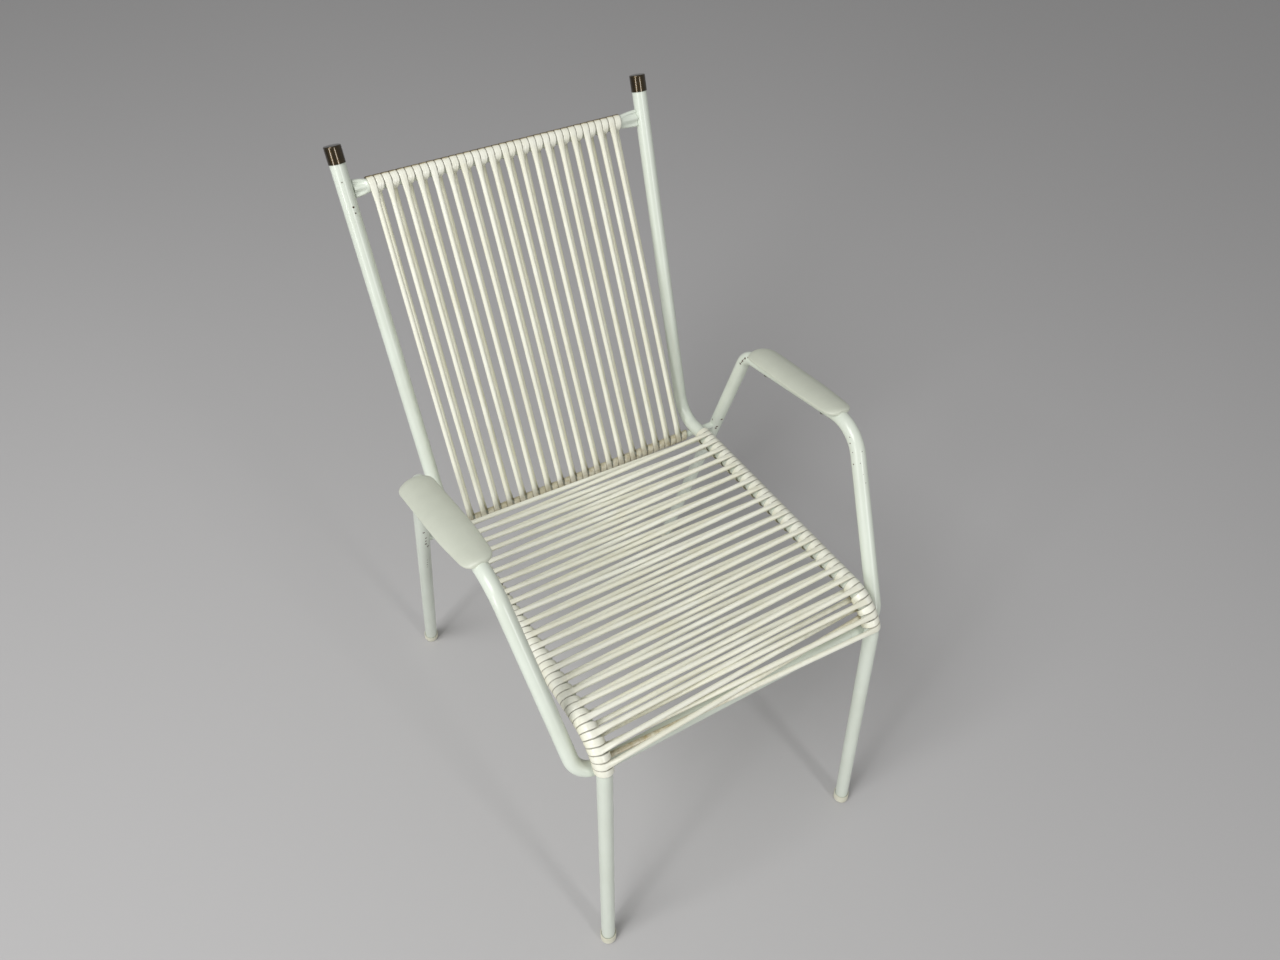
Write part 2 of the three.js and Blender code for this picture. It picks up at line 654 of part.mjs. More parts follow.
// Rings of the cord's section, each square to its course with one corner pointing away from the rail.
function cordRings(course) {
  return course.map(({ point, radial, thickness, width }, i) => {
    const before = course[Math.max(i - 1, 0)].point;
    const after = course[Math.min(i + 1, course.length - 1)].point;
    const heading = point.clone().sub(before).normalize().add(after.clone().sub(point).normalize()).normalize();
    const normal = radial.clone().addScaledVector(heading, -radial.dot(heading)).normalize();
    const beside = heading.clone().cross(normal);
    const ring = [];
    for (let k = 0; k < CORD_SIDES; k++) {
      const angle = 2 * Math.PI * k / CORD_SIDES;
      const corner = point.clone().addScaledVector(normal, Math.cos(angle) * thickness / 2);
      ring.push(corner.addScaledVector(beside, Math.sin(angle) * width / 2));
    }
    return ring;
  });
}

function courseLengths(course) {
  const lengths = [0];
  for (let i = 1; i < course.length; i++) {
    lengths.push(lengths[i - 1] + course[i].point.distanceTo(course[i - 1].point));
  }
  return lengths;
}

// Points on the cord's skin, each with its distance along the cord.
function skinSamples(course, rings) {
  const lengths = courseLengths(course);
  const samples = [];
  for (let i = 1; i < rings.length; i++) {
    const steps = Math.ceil((lengths[i] - lengths[i - 1]) / GAP_SAMPLE_STEP);
    for (let j = 0; j < steps; j++) {
      const along = THREE.MathUtils.lerp(lengths[i - 1], lengths[i], j / steps);
      const ring = rings[i - 1].map((point, k) => point.clone().lerp(rings[i][k], j / steps));
      for (let k = 0; k < CORD_SIDES; k++) {
        samples.push({ along, point: ring[k] });
        samples.push({ along, point: ring[k].clone().lerp(ring[(k + 1) % CORD_SIDES], 0.5) });
      }
    }
  }
  return samples;
}

// Least distance between skin points of one cord that lie more than half a turn round a tube apart along it.
function leastSelfGap(samples) {
  const apart = Math.PI * TUBE_RADIUS;
  const cells = new Map();
  const cellOf = (point) => point.clone().divideScalar(GAP_SEARCH).floor();
  const keyOf = (cell) => `${cell.x},${cell.y},${cell.z}`;
  for (const sample of samples) {
    const key = keyOf(cellOf(sample.point));
    cells.set(key, [...(cells.get(key) ?? []), sample]);
  }
  let least = GAP_SEARCH;
  for (const sample of samples) {
    const home = cellOf(sample.point);
    for (let n = 0; n < 27; n++) {
      const step = new THREE.Vector3(n % 3 - 1, Math.floor(n / 3) % 3 - 1, Math.floor(n / 9) - 1);
      for (const other of cells.get(keyOf(step.add(home))) ?? []) {
        if (Math.abs(other.along - sample.along) > apart) {
          least = Math.min(least, other.point.distanceTo(sample.point));
        }
      }
    }
  }
  return least;
}

function cordSolid(name, winding) {
  const course = windCord(winding);
  const rings = cordRings(course);
  const gap = leastSelfGap(skinSamples(course, rings)).toFixed(2);
  const length = (courseLengths(course).at(-1) / 1000).toFixed(2);
  console.log(`${name}: ${winding.loops} loops, pitch ${winding.pitch.toFixed(2)} mm, ${length} m, least gap ${gap} mm`);
  return skinRings(rings);
}

// Seat winding: from just ahead of the rear cross rail to just above the front cross rail.
function seatGuide({ route }, side, begin) {
  return (along) => {
    const { point, heading, curvature } = route.at(begin + along);
    const face = heading.clone().cross(ACROSS).normalize();
    const outer = face.clone().cross(heading).multiplyScalar(side);
    return { centre: point, radius: TUBE_RADIUS, face, outer, curvature };
  };
}

function seatWinding() {
  const rearBend = sideRoute.runs[1];
  const restPlace = sideRoute.nearestTo(rearRailPlace).along;
  const begin = Math.max(rearBend.begin + rearBend.length, restPlace) + SEAT_CORD_SETBACK;
  const guide = seatGuide(sideTubes.right, SIDES.right, begin);
  const room = TUBE_RADIUS + CORD_DIAMETER / 2 + CORD_SIDE_GAP;
  let span = 0;
  let gap = Infinity;
  while (gap > room) {
    span += 1 / NEAREST_STEPS_PER_MM;
    const { centre, face } = guide(span);
    gap = sideGap(centre.addScaledVector(face, -strandReach(TUBE_RADIUS)), frontRailPlace);
  }
  const loops = Math.round(span / SEAT_PITCH + 1 - SEAT_FAR_LAY[1]);
  const pitch = span / (loops - 1 + SEAT_FAR_LAY[1]);
  const near = seatGuide(sideTubes.left, SIDES.left, begin);
  const lays = { nearLay: SEAT_NEAR_LAY, farLay: SEAT_FAR_LAY };
  return { near, far: guide, ...lays, loops, pitch, sag: SEAT_SAG, returns: false };
}

// Back winding: between the rear cross rail and the top back rail, from the left to the right.
function backWinding() {
  const span = 2 * (topRailHalf - BACK_CORD_MARGIN) - CORD_FLAT_WIDTH;
  const loops = Math.round(span / BACK_PITCH + 0.5);
  const pitch = span / (loops - 0.5);
  const begin = BACK_CORD_SHIFT - span / 2 + pitch / 4;
  const railGuide = (place, radius, outer) => (along) => (
    { centre: place.clone().setX(begin + along), radius, face: backFace, outer, curvature: 0 }
  );
  const near = railGuide(rearRailPlace, ROD_RADIUS, backRise.clone().negate());
  const far = railGuide(postPlace, TOP_RAIL_RADIUS, backRise);
  const lays = { nearLay: BACK_NEAR_LAY, farLay: BACK_FAR_LAY };
  return { near, far, ...lays, loops, pitch, sag: 0, returns: true };
}

const body = new THREE.Group();
body.name = 'armchair_body';

function add(name, geometry, material) {
  const mesh = new THREE.Mesh(geometry, material);
  mesh.name = name;
  body.add(mesh);
}

for (const name of Object.keys(SIDES)) {
  const sideOfChair = sideTubes[name];
  const arm = armTubes[name];
  const frame = padFrame(arm);
  add(`${name}_side_tube`, bentTube(sideOfChair.route, TUBE_RADIUS), paint);
  add(`${name}_arm_tube`, cut(bentTube(arm.route, TUBE_RADIUS), screwHoles(frame)), paint);
  add(`${name}_post_cap`, postCap(sideOfChair.capTop, sideOfChair.postAxis), brass);
  add(`${name}_front_foot`, footFerrule(sideOfChair.leg), ferrule);
  add(`${name}_rear_foot`, footFerrule(arm.leg), ferrule);
  add(`${name}_arm_pad`, armPad(frame), padding);
  for (const [end, point] of Object.entries(screwPlaces(frame))) {
    add(`${name}_pad_${end}_screw`, padScrew(point, frame.up), steel);
  }
}
add('front_cross_rail', frontCrossRail(), paint);
add('rear_cross_rail', rearCrossRail(), paint);
add('top_back_rail', topBackRail(), paint);
add('seat_cord', cordSolid('seat cord', seatWinding()), vinyl);
add('back_cord', cordSolid('back cord', backWinding()), vinyl);

// The chair stands centred over the origin.
const extent = new THREE.Box3().setFromObject(body);
body.position.y = -(extent.min.y + extent.max.y) / 2;

const armchair = new THREE.Group();
armchair.name = 'cord_strung_armchair';
armchair.add(body);

export default armchair;
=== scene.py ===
"""Cord-strung garden armchair: bent steel tube, wound PVC cord, moulded arm pads, post caps and feet."""

import math
import random
from collections import namedtuple
from functools import partial

import bmesh
import bpy
from bpy.props import FloatProperty, FloatVectorProperty, IntProperty, PointerProperty
from mathutils import Matrix, Vector


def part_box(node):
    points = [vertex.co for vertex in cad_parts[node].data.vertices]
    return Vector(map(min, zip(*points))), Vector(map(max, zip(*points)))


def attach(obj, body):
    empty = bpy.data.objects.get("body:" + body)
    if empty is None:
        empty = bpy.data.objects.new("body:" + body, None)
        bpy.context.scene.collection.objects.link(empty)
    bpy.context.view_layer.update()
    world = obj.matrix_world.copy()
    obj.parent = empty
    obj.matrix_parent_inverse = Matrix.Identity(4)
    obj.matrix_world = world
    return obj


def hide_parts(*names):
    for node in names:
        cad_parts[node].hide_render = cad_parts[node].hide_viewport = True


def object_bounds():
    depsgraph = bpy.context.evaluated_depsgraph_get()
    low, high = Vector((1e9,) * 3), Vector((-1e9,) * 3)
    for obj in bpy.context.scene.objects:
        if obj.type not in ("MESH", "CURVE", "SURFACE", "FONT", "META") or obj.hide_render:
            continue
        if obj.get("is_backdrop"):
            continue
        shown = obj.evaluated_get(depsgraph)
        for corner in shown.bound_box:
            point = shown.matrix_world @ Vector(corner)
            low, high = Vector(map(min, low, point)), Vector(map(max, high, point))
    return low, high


bl_info = {
    "name": "Cord-strung Armchair",
    "version": (1, 0, 0),
    "blender": (4, 5, 0),
    "location": "3D View > Sidebar > Armchair",
    "description": "Builds a welded tubular armchair strung with PVC cord",
    "category": "Add Mesh",
}

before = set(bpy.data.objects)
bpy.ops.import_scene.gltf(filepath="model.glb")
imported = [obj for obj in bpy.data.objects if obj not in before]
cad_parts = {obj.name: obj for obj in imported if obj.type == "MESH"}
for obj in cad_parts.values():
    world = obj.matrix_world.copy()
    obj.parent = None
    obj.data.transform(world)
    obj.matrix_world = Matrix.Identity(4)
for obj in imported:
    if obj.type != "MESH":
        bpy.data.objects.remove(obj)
CAD_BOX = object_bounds()

MM = 0.001
BODY = "root"
SIDES = {"left": -1, "right": 1}
ACROSS = Vector((1, 0, 0))
UP = Vector((0, 0, 1))
WHITE = (1, 1, 1)

# Fineness of the meshes.
TUBE_SIDES = 40
BEND_STEPS = 18
CORD_SIDES = 16
WRAP_STEPS = 14
TURNED_SIDES = 48
ROUND_STEPS = 6
PAD_SIDES = 48
PAD_END_STATIONS = 14
PINCH_STATIONS = 12
PINCH_CREASES = 6
CRISP_ANGLE = math.radians(40)

# How full the arm pads' ends are, and how square their section is, as powers: 2 and 1 are round.
PAD_END_POWER = 3
PAD_SIDE_POWER = 0.55
PAD_FACE_POWER = 0.6


# Settings

def number(name, description, value, **kind):
    """A setting that is a number, with its unit or subtype."""
    return FloatProperty(name=name, description=description, default=value, **kind)


def length(name, description, millimetres):
    """A size in metres, given in millimetres."""
    return number(name, description, millimetres * MM, unit="LENGTH")


def room(name, description, metres):
    """A size in the room round the chair."""
    return number(name, description, metres, unit="LENGTH")


def fraction(name, description, value):
    """A plain number, mostly from 0 to 1."""
    return number(name, description, value, subtype="FACTOR")


def turn(name, description, degrees):
    """An angle, given in degrees."""
    return number(name, description, math.radians(degrees), unit="ROTATION")


def watts(name, description, value):
    """The power of a lamp."""
    return number(name, description, value, unit="POWER")


def count(name, description, value):
    """A whole number."""
    return IntProperty(name=name, description=description, default=value)


def linear(hexadecimal):
    """An sRGB hex colour as linear red, green and blue."""
    values = []
    for place in (0, 2, 4):
        value = int(hexadecimal[place:place + 2], 16) / 255
        values.append(value / 12.92 if value <= 0.04045 else ((value + 0.055) / 1.055) ** 2.4)
    return values


def colour(name, description, hexadecimal):
    """A colour, given as an sRGB hex value."""
    value = linear(hexadecimal)
    return FloatVectorProperty(name=name, description=description, subtype="COLOR", default=value)


class TubeSettings(bpy.types.PropertyGroup):
    """Sizes of the bent tubes and the rails."""

    tube_diameter: length("Tube", "Outer diameter of the side and arm tubes", 19)
    top_rail_diameter: length("Top rail", "Outer diameter of the top rail", 16)
    rod_diameter: length("Rear rod", "Diameter of the rod behind the seat", 10)
    front_feet_y: length("Front feet", "Front feet's place along the chair's depth", -345.196)
    front_feet_width: length("Front feet width", "Distance between the front feet", 413)
    seat_front_width: length("Seat front width", "Distance between the front bends", 380)
    seat_rear_width: length("Seat rear width", "Distance between the rear bends", 394)
    post_top_width: length("Post top width", "Distance between the tops of the posts", 402)
    front_leg_rake: length("Front leg rake", "How far the front bends lie behind the feet", 57.7)
    seat_rail_reach: length("Seat depth", "Distance from the front bends to the rear bends", 450.3)
    back_rake: length("Back rake", "How far the posts lean back", 183.7)
    seat_front_height: length("Seat front height", "Height of the front bends' corners", 456)
    seat_rear_height: length("Seat rear height", "Height of the rear bends' corners", 395.7)
    post_top_height: length("Post height", "Height of the posts' tops", 848.3)
    front_bend: length("Front bend", "Radius of the front bends", 50)
    rear_bend: length("Rear bend", "Radius of the rear bends", 42)
    rear_foot_outset: length("Rear foot outset", "How far the rear feet stand outside the seat", 38.5)
    rear_foot_reach: length("Rear foot reach", "Distance from the front feet to the rear feet", 574.8)
    arm_rear_outset: length("Arm rear outset", "How far the arm's rear stands outside the seat", 43.7)
    arm_rear_reach: length("Arm rear reach", "Distance from the front feet to the arm's rear bend", 432.8)
    arm_rear_height: length("Arm rear height", "Height of the arm's rear bend", 556.8)
    arm_front_outset: length("Arm front outset", "How far the arm's front stands outside the seat", 49.8)
    arm_front_reach: length("Arm front reach", "Distance from the front feet to the arm's front bend", 212.9)
    arm_front_height: length("Arm front height", "Height of the arm's front bend", 615.2)
    arm_rear_bend: length("Arm rear bend", "Radius of the arm's rear bend", 32)
    arm_front_bend: length("Arm front bend", "Radius of the arm's front bend", 52)
    toe_outset: length("Toe outset", "How far the toe's corner stands outside the seat", 26)
    toe_bend: length("Toe bend", "Radius of the bend into the toe", 28)
    toe_seam: length("Toe seam", "Gap closed between the toe and the front rail", 0.3)
    leg_lift: length("Leg lift", "Height of the tubes' ends inside the feet", 5)
    post_inset: length("Post inset", "How far the posts' ends lie below the tops of their caps", 2.2)
    pinch_left: length("Left pinch", "Length of the top rail's squashed left end", 16.5)
    pinch_right: length("Right pinch", "Length of the top rail's squashed right end", 26)
    pinch_height: length("Pinch height", "Height of the top rail's squashed ends", 21)
    pinch_depth: length("Pinch depth", "Thickness of the top rail's squashed ends", 11)
    pinch_crease: fraction("Pinch crease", "Depth of the creases in the squashed ends", 0.7)


class FittingSettings(bpy.types.PropertyGroup):
    """Sizes of the caps, the feet and the arm pads."""

    cap_diameter: length("Cap", "Outer diameter of the post caps", 20.6)
    cap_height: length("Cap height", "Height of the post caps", 20)
    cap_edge: length("Cap edge", "Rounding of the post caps' top edges", 1.4)
    foot_diameter: length("Foot", "Outer diameter of the feet", 22)
    foot_sleeve: length("Foot sleeve", "Height of the feet's sleeves", 14)
    foot_dome: length("Foot dome", "Height of the domed soles", 4.5)
    foot_wear: length("Foot wear", "Depth worn off the soles", 1.2)
    foot_edge: length("Foot edge", "Rounding of the feet's top edges", 0.7)
    foot_crevice: length("Foot crevice", "Depth of the gap between a foot's rim and its leg", 2)
    socket_gap: length("Socket gap", "Clearance round a tube's end in its cap or foot", 0.05)
    pad_length: length("Pad length", "Length of the arm pads", 193)
    pad_width: length("Pad width", "Width of the arm pads", 44)
    pad_front_width: length("Pad front width", "Width of the arm pads' noses", 37)
    pad_taper: length("Pad taper", "Length over which the nose narrows", 75)
    pad_thickness: length("Pad thickness", "Thickness at the middle of the arm pads", 9.5)
    pad_edge: length("Pad edge", "Thickness at the edge of the arm pads", 5)
    pad_saddle: length("Pad saddle", "Depth to which the tube is let into the pads", 5)
    pad_shift: length("Pad shift", "How far the pads lie ahead of the arm's middle", 3)
    pad_outset: length("Pad outset", "How far the pads lie off the tube's axis", 4)
    pad_toe_out: turn("Pad toe out", "Angle at which the pads point outwards", 3)
    pad_roll: turn("Pad roll", "Angle at which the pads tip", 4)
    pad_rear_round: length("Pad rear round", "Length of the pads' round rear ends", 22)
    pad_front_round: length("Pad front round", "Length of the pads' round noses", 24)


class CordSettings(bpy.types.PropertyGroup):
    """Sizes of the two windings."""

    diameter: length("Cord", "Diameter of the open strands", 6.5)
    flat_thickness: length("Flat thickness", "Thickness where the cord is pressed round a rail", 2.3)
    rail_gap: length("Rail gap", "Clearance between the cord and its rail", 0.1)
    side_gap: length("Side gap", "Clearance between neighbouring wraps", 0.12)
    lead: length("Lead", "Length over which a wrap becomes a round strand", 24)
    tail: length("Tail", "Length of the cords' straight ends", 5)
    seat_loops: count("Seat loops", "Number of strands from the left rail's top", 22)
    seat_setback: length("Seat setback", "Distance from the rear rail to the first strand", 27.3)
    seat_left_pitch: length("Seat left pitch", "Distance between strands on top of the left rail", 19.58)
    seat_right_pitch: length("Seat right pitch", "Distance between strands on top of the right rail", 19.38)
    seat_right_shift: length("Seat right shift", "How far the right rail's wraps lie ahead", 1.5)
    seat_slip_first: fraction("First slip", "Pitches from the first upper strand to the lower one", 0.06)
    seat_slip_last: fraction("Last slip", "Pitches from the last upper strand to the lower one", 0.2)
    back_loops: count("Back loops", "Number of front strands in the back", 18)
    back_low_begin: length("Back low begin", "Place of the first strand on the rear rod", -169.5)
    back_low_pitch: length("Back low pitch", "Distance between strands on the rear rod", 19.85)
    back_high_begin: length("Back high begin", "Place of the first strand on the top rail", -169.5)
    back_high_pitch: length("Back high pitch", "Distance between strands on the top rail", 18.78)
    back_lag_first: fraction("First lag", "Pitches from the first front strand to the rear one", 0.45)
    back_lag_last: fraction("Last lag", "Pitches from the last front strand to the rear one", 0.7)
    back_lag_low: fraction("Low lag", "Share of that lag left on the rear rod", 0.6)
    strand_stray: length("Strand stray", "How far the strands stray from straight", 1.5)


class FinishSettings(bpy.types.PropertyGroup):
    """Colours of the finishes."""

    paint: colour("Paint", "White enamel with a cool green tint", "D8DFD3")
    paint_shade: colour("Paint shade", "Duller enamel between the clean places", "C3C9B8")
    rust: colour("Rust", "Rust in the chips", "5A3C22")
    rust_dark: colour("Dark rust", "Bare dark steel in the chips", "241A12")
    cord: colour("Cord", "Ivory PVC", "ECECDE")
    # Painted shade: this darker, yellower ivory is mixed in on the hidden sides of the wraps, on the tucked
    # ends and on the rear strands, with a random yellowing.
    cord_shade_and_tint: colour("Aged cord", "Yellowed PVC on the sheltered strands", "D6D2B2")
    # Tan mixed in for the dirt on the wraps and for the darkening on the rear rod, along the top rail's
    # crest and under the seat's front bends.
    cord_tan_dirt_and_darkening: colour("Cord grime", "Tan dirt on the wraps", "9E8A54")
    # Painted crease shade where two pressed wraps meet; also the darkest of the darkening on the wraps.
    cord_seam: colour("Cord seam", "Shadowed dirt where two wraps meet", "4A3E26")
    brass: colour("Brass", "Dark tarnished brass", "40331A")
    brass_bright: colour("Bright brass", "Brass rubbed clean", "57461F")
    foot: colour("Feet", "Cream plastic", "CFCDB8")
    pad: colour("Pads", "Grey-green plastic", "C4C8B9")
    pad_worn: colour("Worn pads", "Plastic rubbed pale", "D0D4C5")
    zinc: colour("Zinc", "Zinc plating on the pad screws", "8C8C86")
    floor: colour("Floor", "Pale floor", "B8B7B7")


class StageSettings(bpy.types.PropertyGroup):
    """Camera and light."""

    camera_place: FloatVectorProperty(
        name="Camera", description="Place of the camera", subtype="XYZ", unit="LENGTH",
        default=(-0.4273, -0.6850, 1.4302),
    )
    camera_azimuth: turn("Azimuth", "Camera's angle round the chair", -33.197)
    camera_elevation: turn("Elevation", "Camera's angle above the floor", 48.627)
    camera_roll: turn("Roll", "Camera's roll", 3.841)
    lens: number("Lens", "Focal length in millimetres", 26.935)
    sensor: number("Sensor", "Sensor width in millimetres", 36)
    floor_size: room("Floor size", "Width of the floor", 14)
    fill: number("Fill", "Strength of the even light all round", 0.34)
    lamp_distance: room("Lamp distance", "Distance of the lamps", 3.2)
    key_power: watts("Key power", "Power of the soft light", 66)
    key_size: room("Key size", "Width of the soft light", 1.6)
    key_azimuth: turn("Key azimuth", "Soft light's angle round the chair", -75)
    key_elevation: turn("Key elevation", "Soft light's angle above the floor", 52)
    strip_power: watts("Strip power", "Power of each strip light", 20)
    strip_width: room("Strip width", "Width of the strip lights", 0.4)
    strip_height: room("Strip height", "Height of the strip lights", 1.4)
    left_strip_azimuth: turn("Left strip azimuth", "Left strip's angle round the chair", -65)
    left_strip_elevation: turn("Left strip elevation", "Left strip's angle above the floor", 11.5)
    front_strip_azimuth: turn("Front strip azimuth", "Front strip's angle round the chair", 8)
    front_strip_elevation: turn("Front strip elevation", "Front strip's angle above the floor", 19)


# Shapes

Run = namedtuple("Run", "begin length start heading axis centre curvature")
Place = namedtuple("Place", "point heading curvature")

# Runs of the side tubes and of the arm tubes, counted from their starts.
REAR_BEND_RUN, FRONT_BEND_RUN = 1, 3
ARM_RUN = 2

# Distances within which points are merged.
LOFT_MERGE = MM / 1000
TURNED_MERGE = MM / 100


class Route:
    """Centre line of a bent tube: straight runs joined by round bends, measured along its length."""

    def __init__(self, corners, radii):
        self.runs = []
        self.length = 0.0
        start = corners[0]
        for before, corner, after, radius in zip(corners, corners[1:], corners[2:], radii):
            heading = (corner - before).normalized()
            leaving = (after - corner).normalized()
            angle = heading.angle(leaving)
            bend_start = corner - heading * radius * math.tan(angle / 2)
            self.add_line(start, bend_start)
            start = self.add_bend(bend_start, heading, leaving, angle, radius)
        self.add_line(start, corners[-1])

    def add_line(self, start, end):
        """A straight run."""
        heading = end - start
        self.runs.append(Run(self.length, heading.length, start, heading.normalized(), None, None, 0.0))
        self.length += heading.length

    def add_bend(self, start, heading, leaving, angle, radius):
        """A round bend; returns where it ends."""
        axis = heading.cross(leaving).normalized()
        centre = start + axis.cross(heading) * radius
        self.runs.append(Run(self.length, angle * radius, start, heading, axis, centre, 1 / radius))
        self.length += angle * radius
        return centre + Matrix.Rotation(angle, 3, axis) @ (start - centre)

    def at(self, distance):
        """The place at a distance from the start."""
        run = next((each for each in reversed(self.runs) if distance >= each.begin), self.runs[0])
        along = distance - run.begin
        if not run.curvature:
            return Place(run.start + run.heading * along, run.heading, 0.0)
        turned = Matrix.Rotation(along * run.curvature, 3, run.axis)
        return Place(run.centre + turned @ (run.start - run.centre), turned @ run.heading, run.curvature)

    def nearest(self, line):
        """Distance at which this route comes nearest to a line across the chair, seen from the side."""
        steps = round(self.length / MM)
        places = [self.length * i / steps for i in range(steps + 1)]
        return min(places, key=lambda each: (self.at(each).point - line).yz.length)


def blend(low, high, amount):
    """A value between two others."""
    return low + (high - low) * amount


def ease(amount):
    """A smooth step from 0 to 1."""
    amount = min(max(amount, 0.0), 1.0)
    return amount * amount * (3 - 2 * amount)


def rounded(value, power):
    """A sine or cosine pressed towards a square corner."""
    return math.copysign(abs(value) ** power, value)


def facing(point, heading):
    """A matrix that puts a flat circle at a point, square to a heading."""
    return Matrix.Translation(point) @ heading.to_track_quat("Z", "Y").to_matrix().to_4x4()


def middle(node):
    """Middle of a CAD solid's box."""
    low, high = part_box(node)
    return (low + high) / 2


def close_ends(bm):
    """Fill the open ends of a shape and keep their rims sharp."""
    rims = [edge for edge in bm.edges if edge.is_boundary]
    bmesh.ops.holes_fill(bm, edges=rims, sides=0)
    for edge in rims:
        edge.smooth = False


def draw_tube(bm, route, radius):
    """Extrude a circle along the straight runs and spin it round the bends."""
    first = route.runs[0]
    matrix = facing(first.start, first.heading)
    made = bmesh.ops.create_circle(bm, cap_ends=False, radius=radius, segments=TUBE_SIDES, matrix=matrix)
    edges = list({edge for vert in made["verts"] for edge in vert.link_edges})
    for run in route.runs:
        if run.curvature:
            spun = bmesh.ops.spin(
                bm, geom=edges, cent=run.centre, axis=run.axis, dvec=(0, 0, 0),
                angle=run.length * run.curvature, steps=BEND_STEPS, use_merge=False, use_duplicate=False,
            )
            edges = [item for item in spun["geom_last"] if isinstance(item, bmesh.types.BMEdge)]
        else:
            grown = bmesh.ops.extrude_edge_only(bm, edges=edges)["geom"]
            verts = [item for item in grown if isinstance(item, bmesh.types.BMVert)]
            bmesh.ops.translate(bm, verts=verts, vec=run.heading * run.length)
            edges = [item for item in grown if isinstance(item, bmesh.types.BMEdge) and item.is_boundary]


def loft(bm, stations, sides, place):
    """A grid rolled into a tube of rings; each point goes where place(vert, station, angle) says."""
    bmesh.ops.create_grid(bm, x_segments=stations - 1, y_segments=sides, size=1)
    for vert in bm.verts:
        station = round((vert.co.x + 1) / 2 * (stations - 1))
        column = round((vert.co.y + 1) / 2 * sides) % sides
        vert.co = place(vert, station, 2 * math.pi * column / sides)
    bmesh.ops.remove_doubles(bm, verts=bm.verts, dist=LOFT_MERGE)


def turn_profile(bm, profile, matrix):
    """Spin a profile of (radius, height) once round its axis and put it in place."""
    verts = [bm.verts.new((radius, 0, height)) for radius, height in profile]
    edges = [bm.edges.new(pair) for pair in zip(verts, verts[1:])]
    bmesh.ops.spin(
        bm, geom=verts + edges, cent=(0, 0, 0), axis=UP, dvec=(0, 0, 0), angle=2 * math.pi,
        steps=TURNED_SIDES, use_merge=True, use_duplicate=False,
    )
    bmesh.ops.remove_doubles(bm, verts=bm.verts, dist=TURNED_MERGE)
    bmesh.ops.transform(bm, matrix=matrix, verts=bm.verts)
    bm.normal_update()
    for edge in bm.edges:
        edge.smooth = edge.calc_face_angle(0) < CRISP_ANGLE


def rounded_edge(radius, height, edge):
    """Profile points of a rounded outer edge at a radius and a height, from the wall to the top."""
    points = []
    for i in range(ROUND_STEPS + 1):
        angle = math.pi / 2 * i / ROUND_STEPS
        points.append((radius - edge + edge * math.cos(angle), height - edge + edge * math.sin(angle)))
    return points


def add_piece(name, bm, material, nodes):
    """Make the finished piece an object that stands for its CAD solids."""
    bmesh.ops.recalc_face_normals(bm, faces=bm.faces)
    if not bm.faces:
        raise RuntimeError(f"{name} came out empty")
    for face in bm.faces:
        face.smooth = True
    mesh = bpy.data.meshes.new(name)
    bm.to_mesh(mesh)
    bm.free()
    mesh.materials.append(material)
    piece = bpy.data.objects.new(name, mesh)
    bpy.context.scene.collection.objects.link(piece)
    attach(piece, BODY)
    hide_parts(*nodes)


def paint_tube(node, route, diameter, paint):
    """A painted tube or rod along a route."""
    bm = bmesh.new()
    draw_tube(bm, route, diameter / 2)
    close_ends(bm)
    add_piece(f"{node}_painted", bm, paint, [node])


# Places on the frame

def frame_point(size, x, y, z):
    """A point given from the middle of the front feet."""
    return Vector((x, y + size.front_feet_y, z))


SideTube = namedtuple("SideTube", "route cap_top post_axis foot leg_axis")
ArmTube = namedtuple("ArmTube", "route foot leg_axis side")


def side_tube(size, side):
    """A side tube, from the post's top down to the front foot."""
    rear_y = size.front_leg_rake + size.seat_rail_reach
    top_y = rear_y + size.back_rake
    cap_top = frame_point(size, side * size.post_top_width / 2, top_y, size.post_top_height)
    rear = frame_point(size, side * size.seat_rear_width / 2, rear_y, size.seat_rear_height)
    front = frame_point(size, side * size.seat_front_width / 2, size.front_leg_rake, size.seat_front_height)
    foot = frame_point(size, side * size.front_feet_width / 2, 0, 0)
    post_axis = (cap_top - rear).normalized()
    leg_axis = (front - foot).normalized()
    top = cap_top - post_axis * size.post_inset
    corners = [top, rear, front, foot + leg_axis * size.leg_lift]
    return SideTube(Route(corners, [size.rear_bend, size.front_bend]), cap_top, post_axis, foot, leg_axis)


def arm_tube(size, side):
    """An arm tube: rear leg, arm, front upright and the toe turned in behind the front leg."""
    rear_x = size.seat_rear_width / 2
    front_x = size.seat_front_width / 2
    foot = frame_point(size, side * (rear_x + size.rear_foot_outset), size.rear_foot_reach, 0)
    rear_outset = side * (rear_x + size.arm_rear_outset)
    front_outset = side * (front_x + size.arm_front_outset)
    rear = frame_point(size, rear_outset, size.arm_rear_reach, size.arm_rear_height)
    front = frame_point(size, front_outset, size.arm_front_reach, size.arm_front_height)
    rail = middle("front_cross_rail")
    rail_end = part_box("front_cross_rail")[1].x + size.toe_seam
    toe_corner = Vector((side * (front_x + size.toe_outset), rail.y, rail.z))
    toe = Vector((side * rail_end, rail.y, rail.z))
    leg_axis = (rear - foot).normalized()
    corners = [foot + leg_axis * size.leg_lift, rear, front, toe_corner, toe]
    route = Route(corners, [size.arm_rear_bend, size.arm_front_bend, size.toe_bend])
    return ArmTube(route, foot, leg_axis, side)


# Materials

NOISE = "ShaderNodeTexNoise"
RANGE = "ShaderNodeMapRange"
MATH = "ShaderNodeMath"
MIX = "ShaderNodeMix"
BUMP = "ShaderNodeBump"

# Sockets of the Mix node in its colour form.
MIX_AMOUNT, MIX_FROM, MIX_TO, MIX_RESULT = 0, 6, 7, 2

# The output that each kind of node passes on.
OUTPUTS = {
    "ShaderNodeTexCoord": "Object", "ShaderNodeAttribute": "Fac", "ShaderNodeVectorMath": "Value",
    NOISE: "Fac", RANGE: "Result", MATH: "Value", MIX: MIX_RESULT, BUMP: "Normal",
}

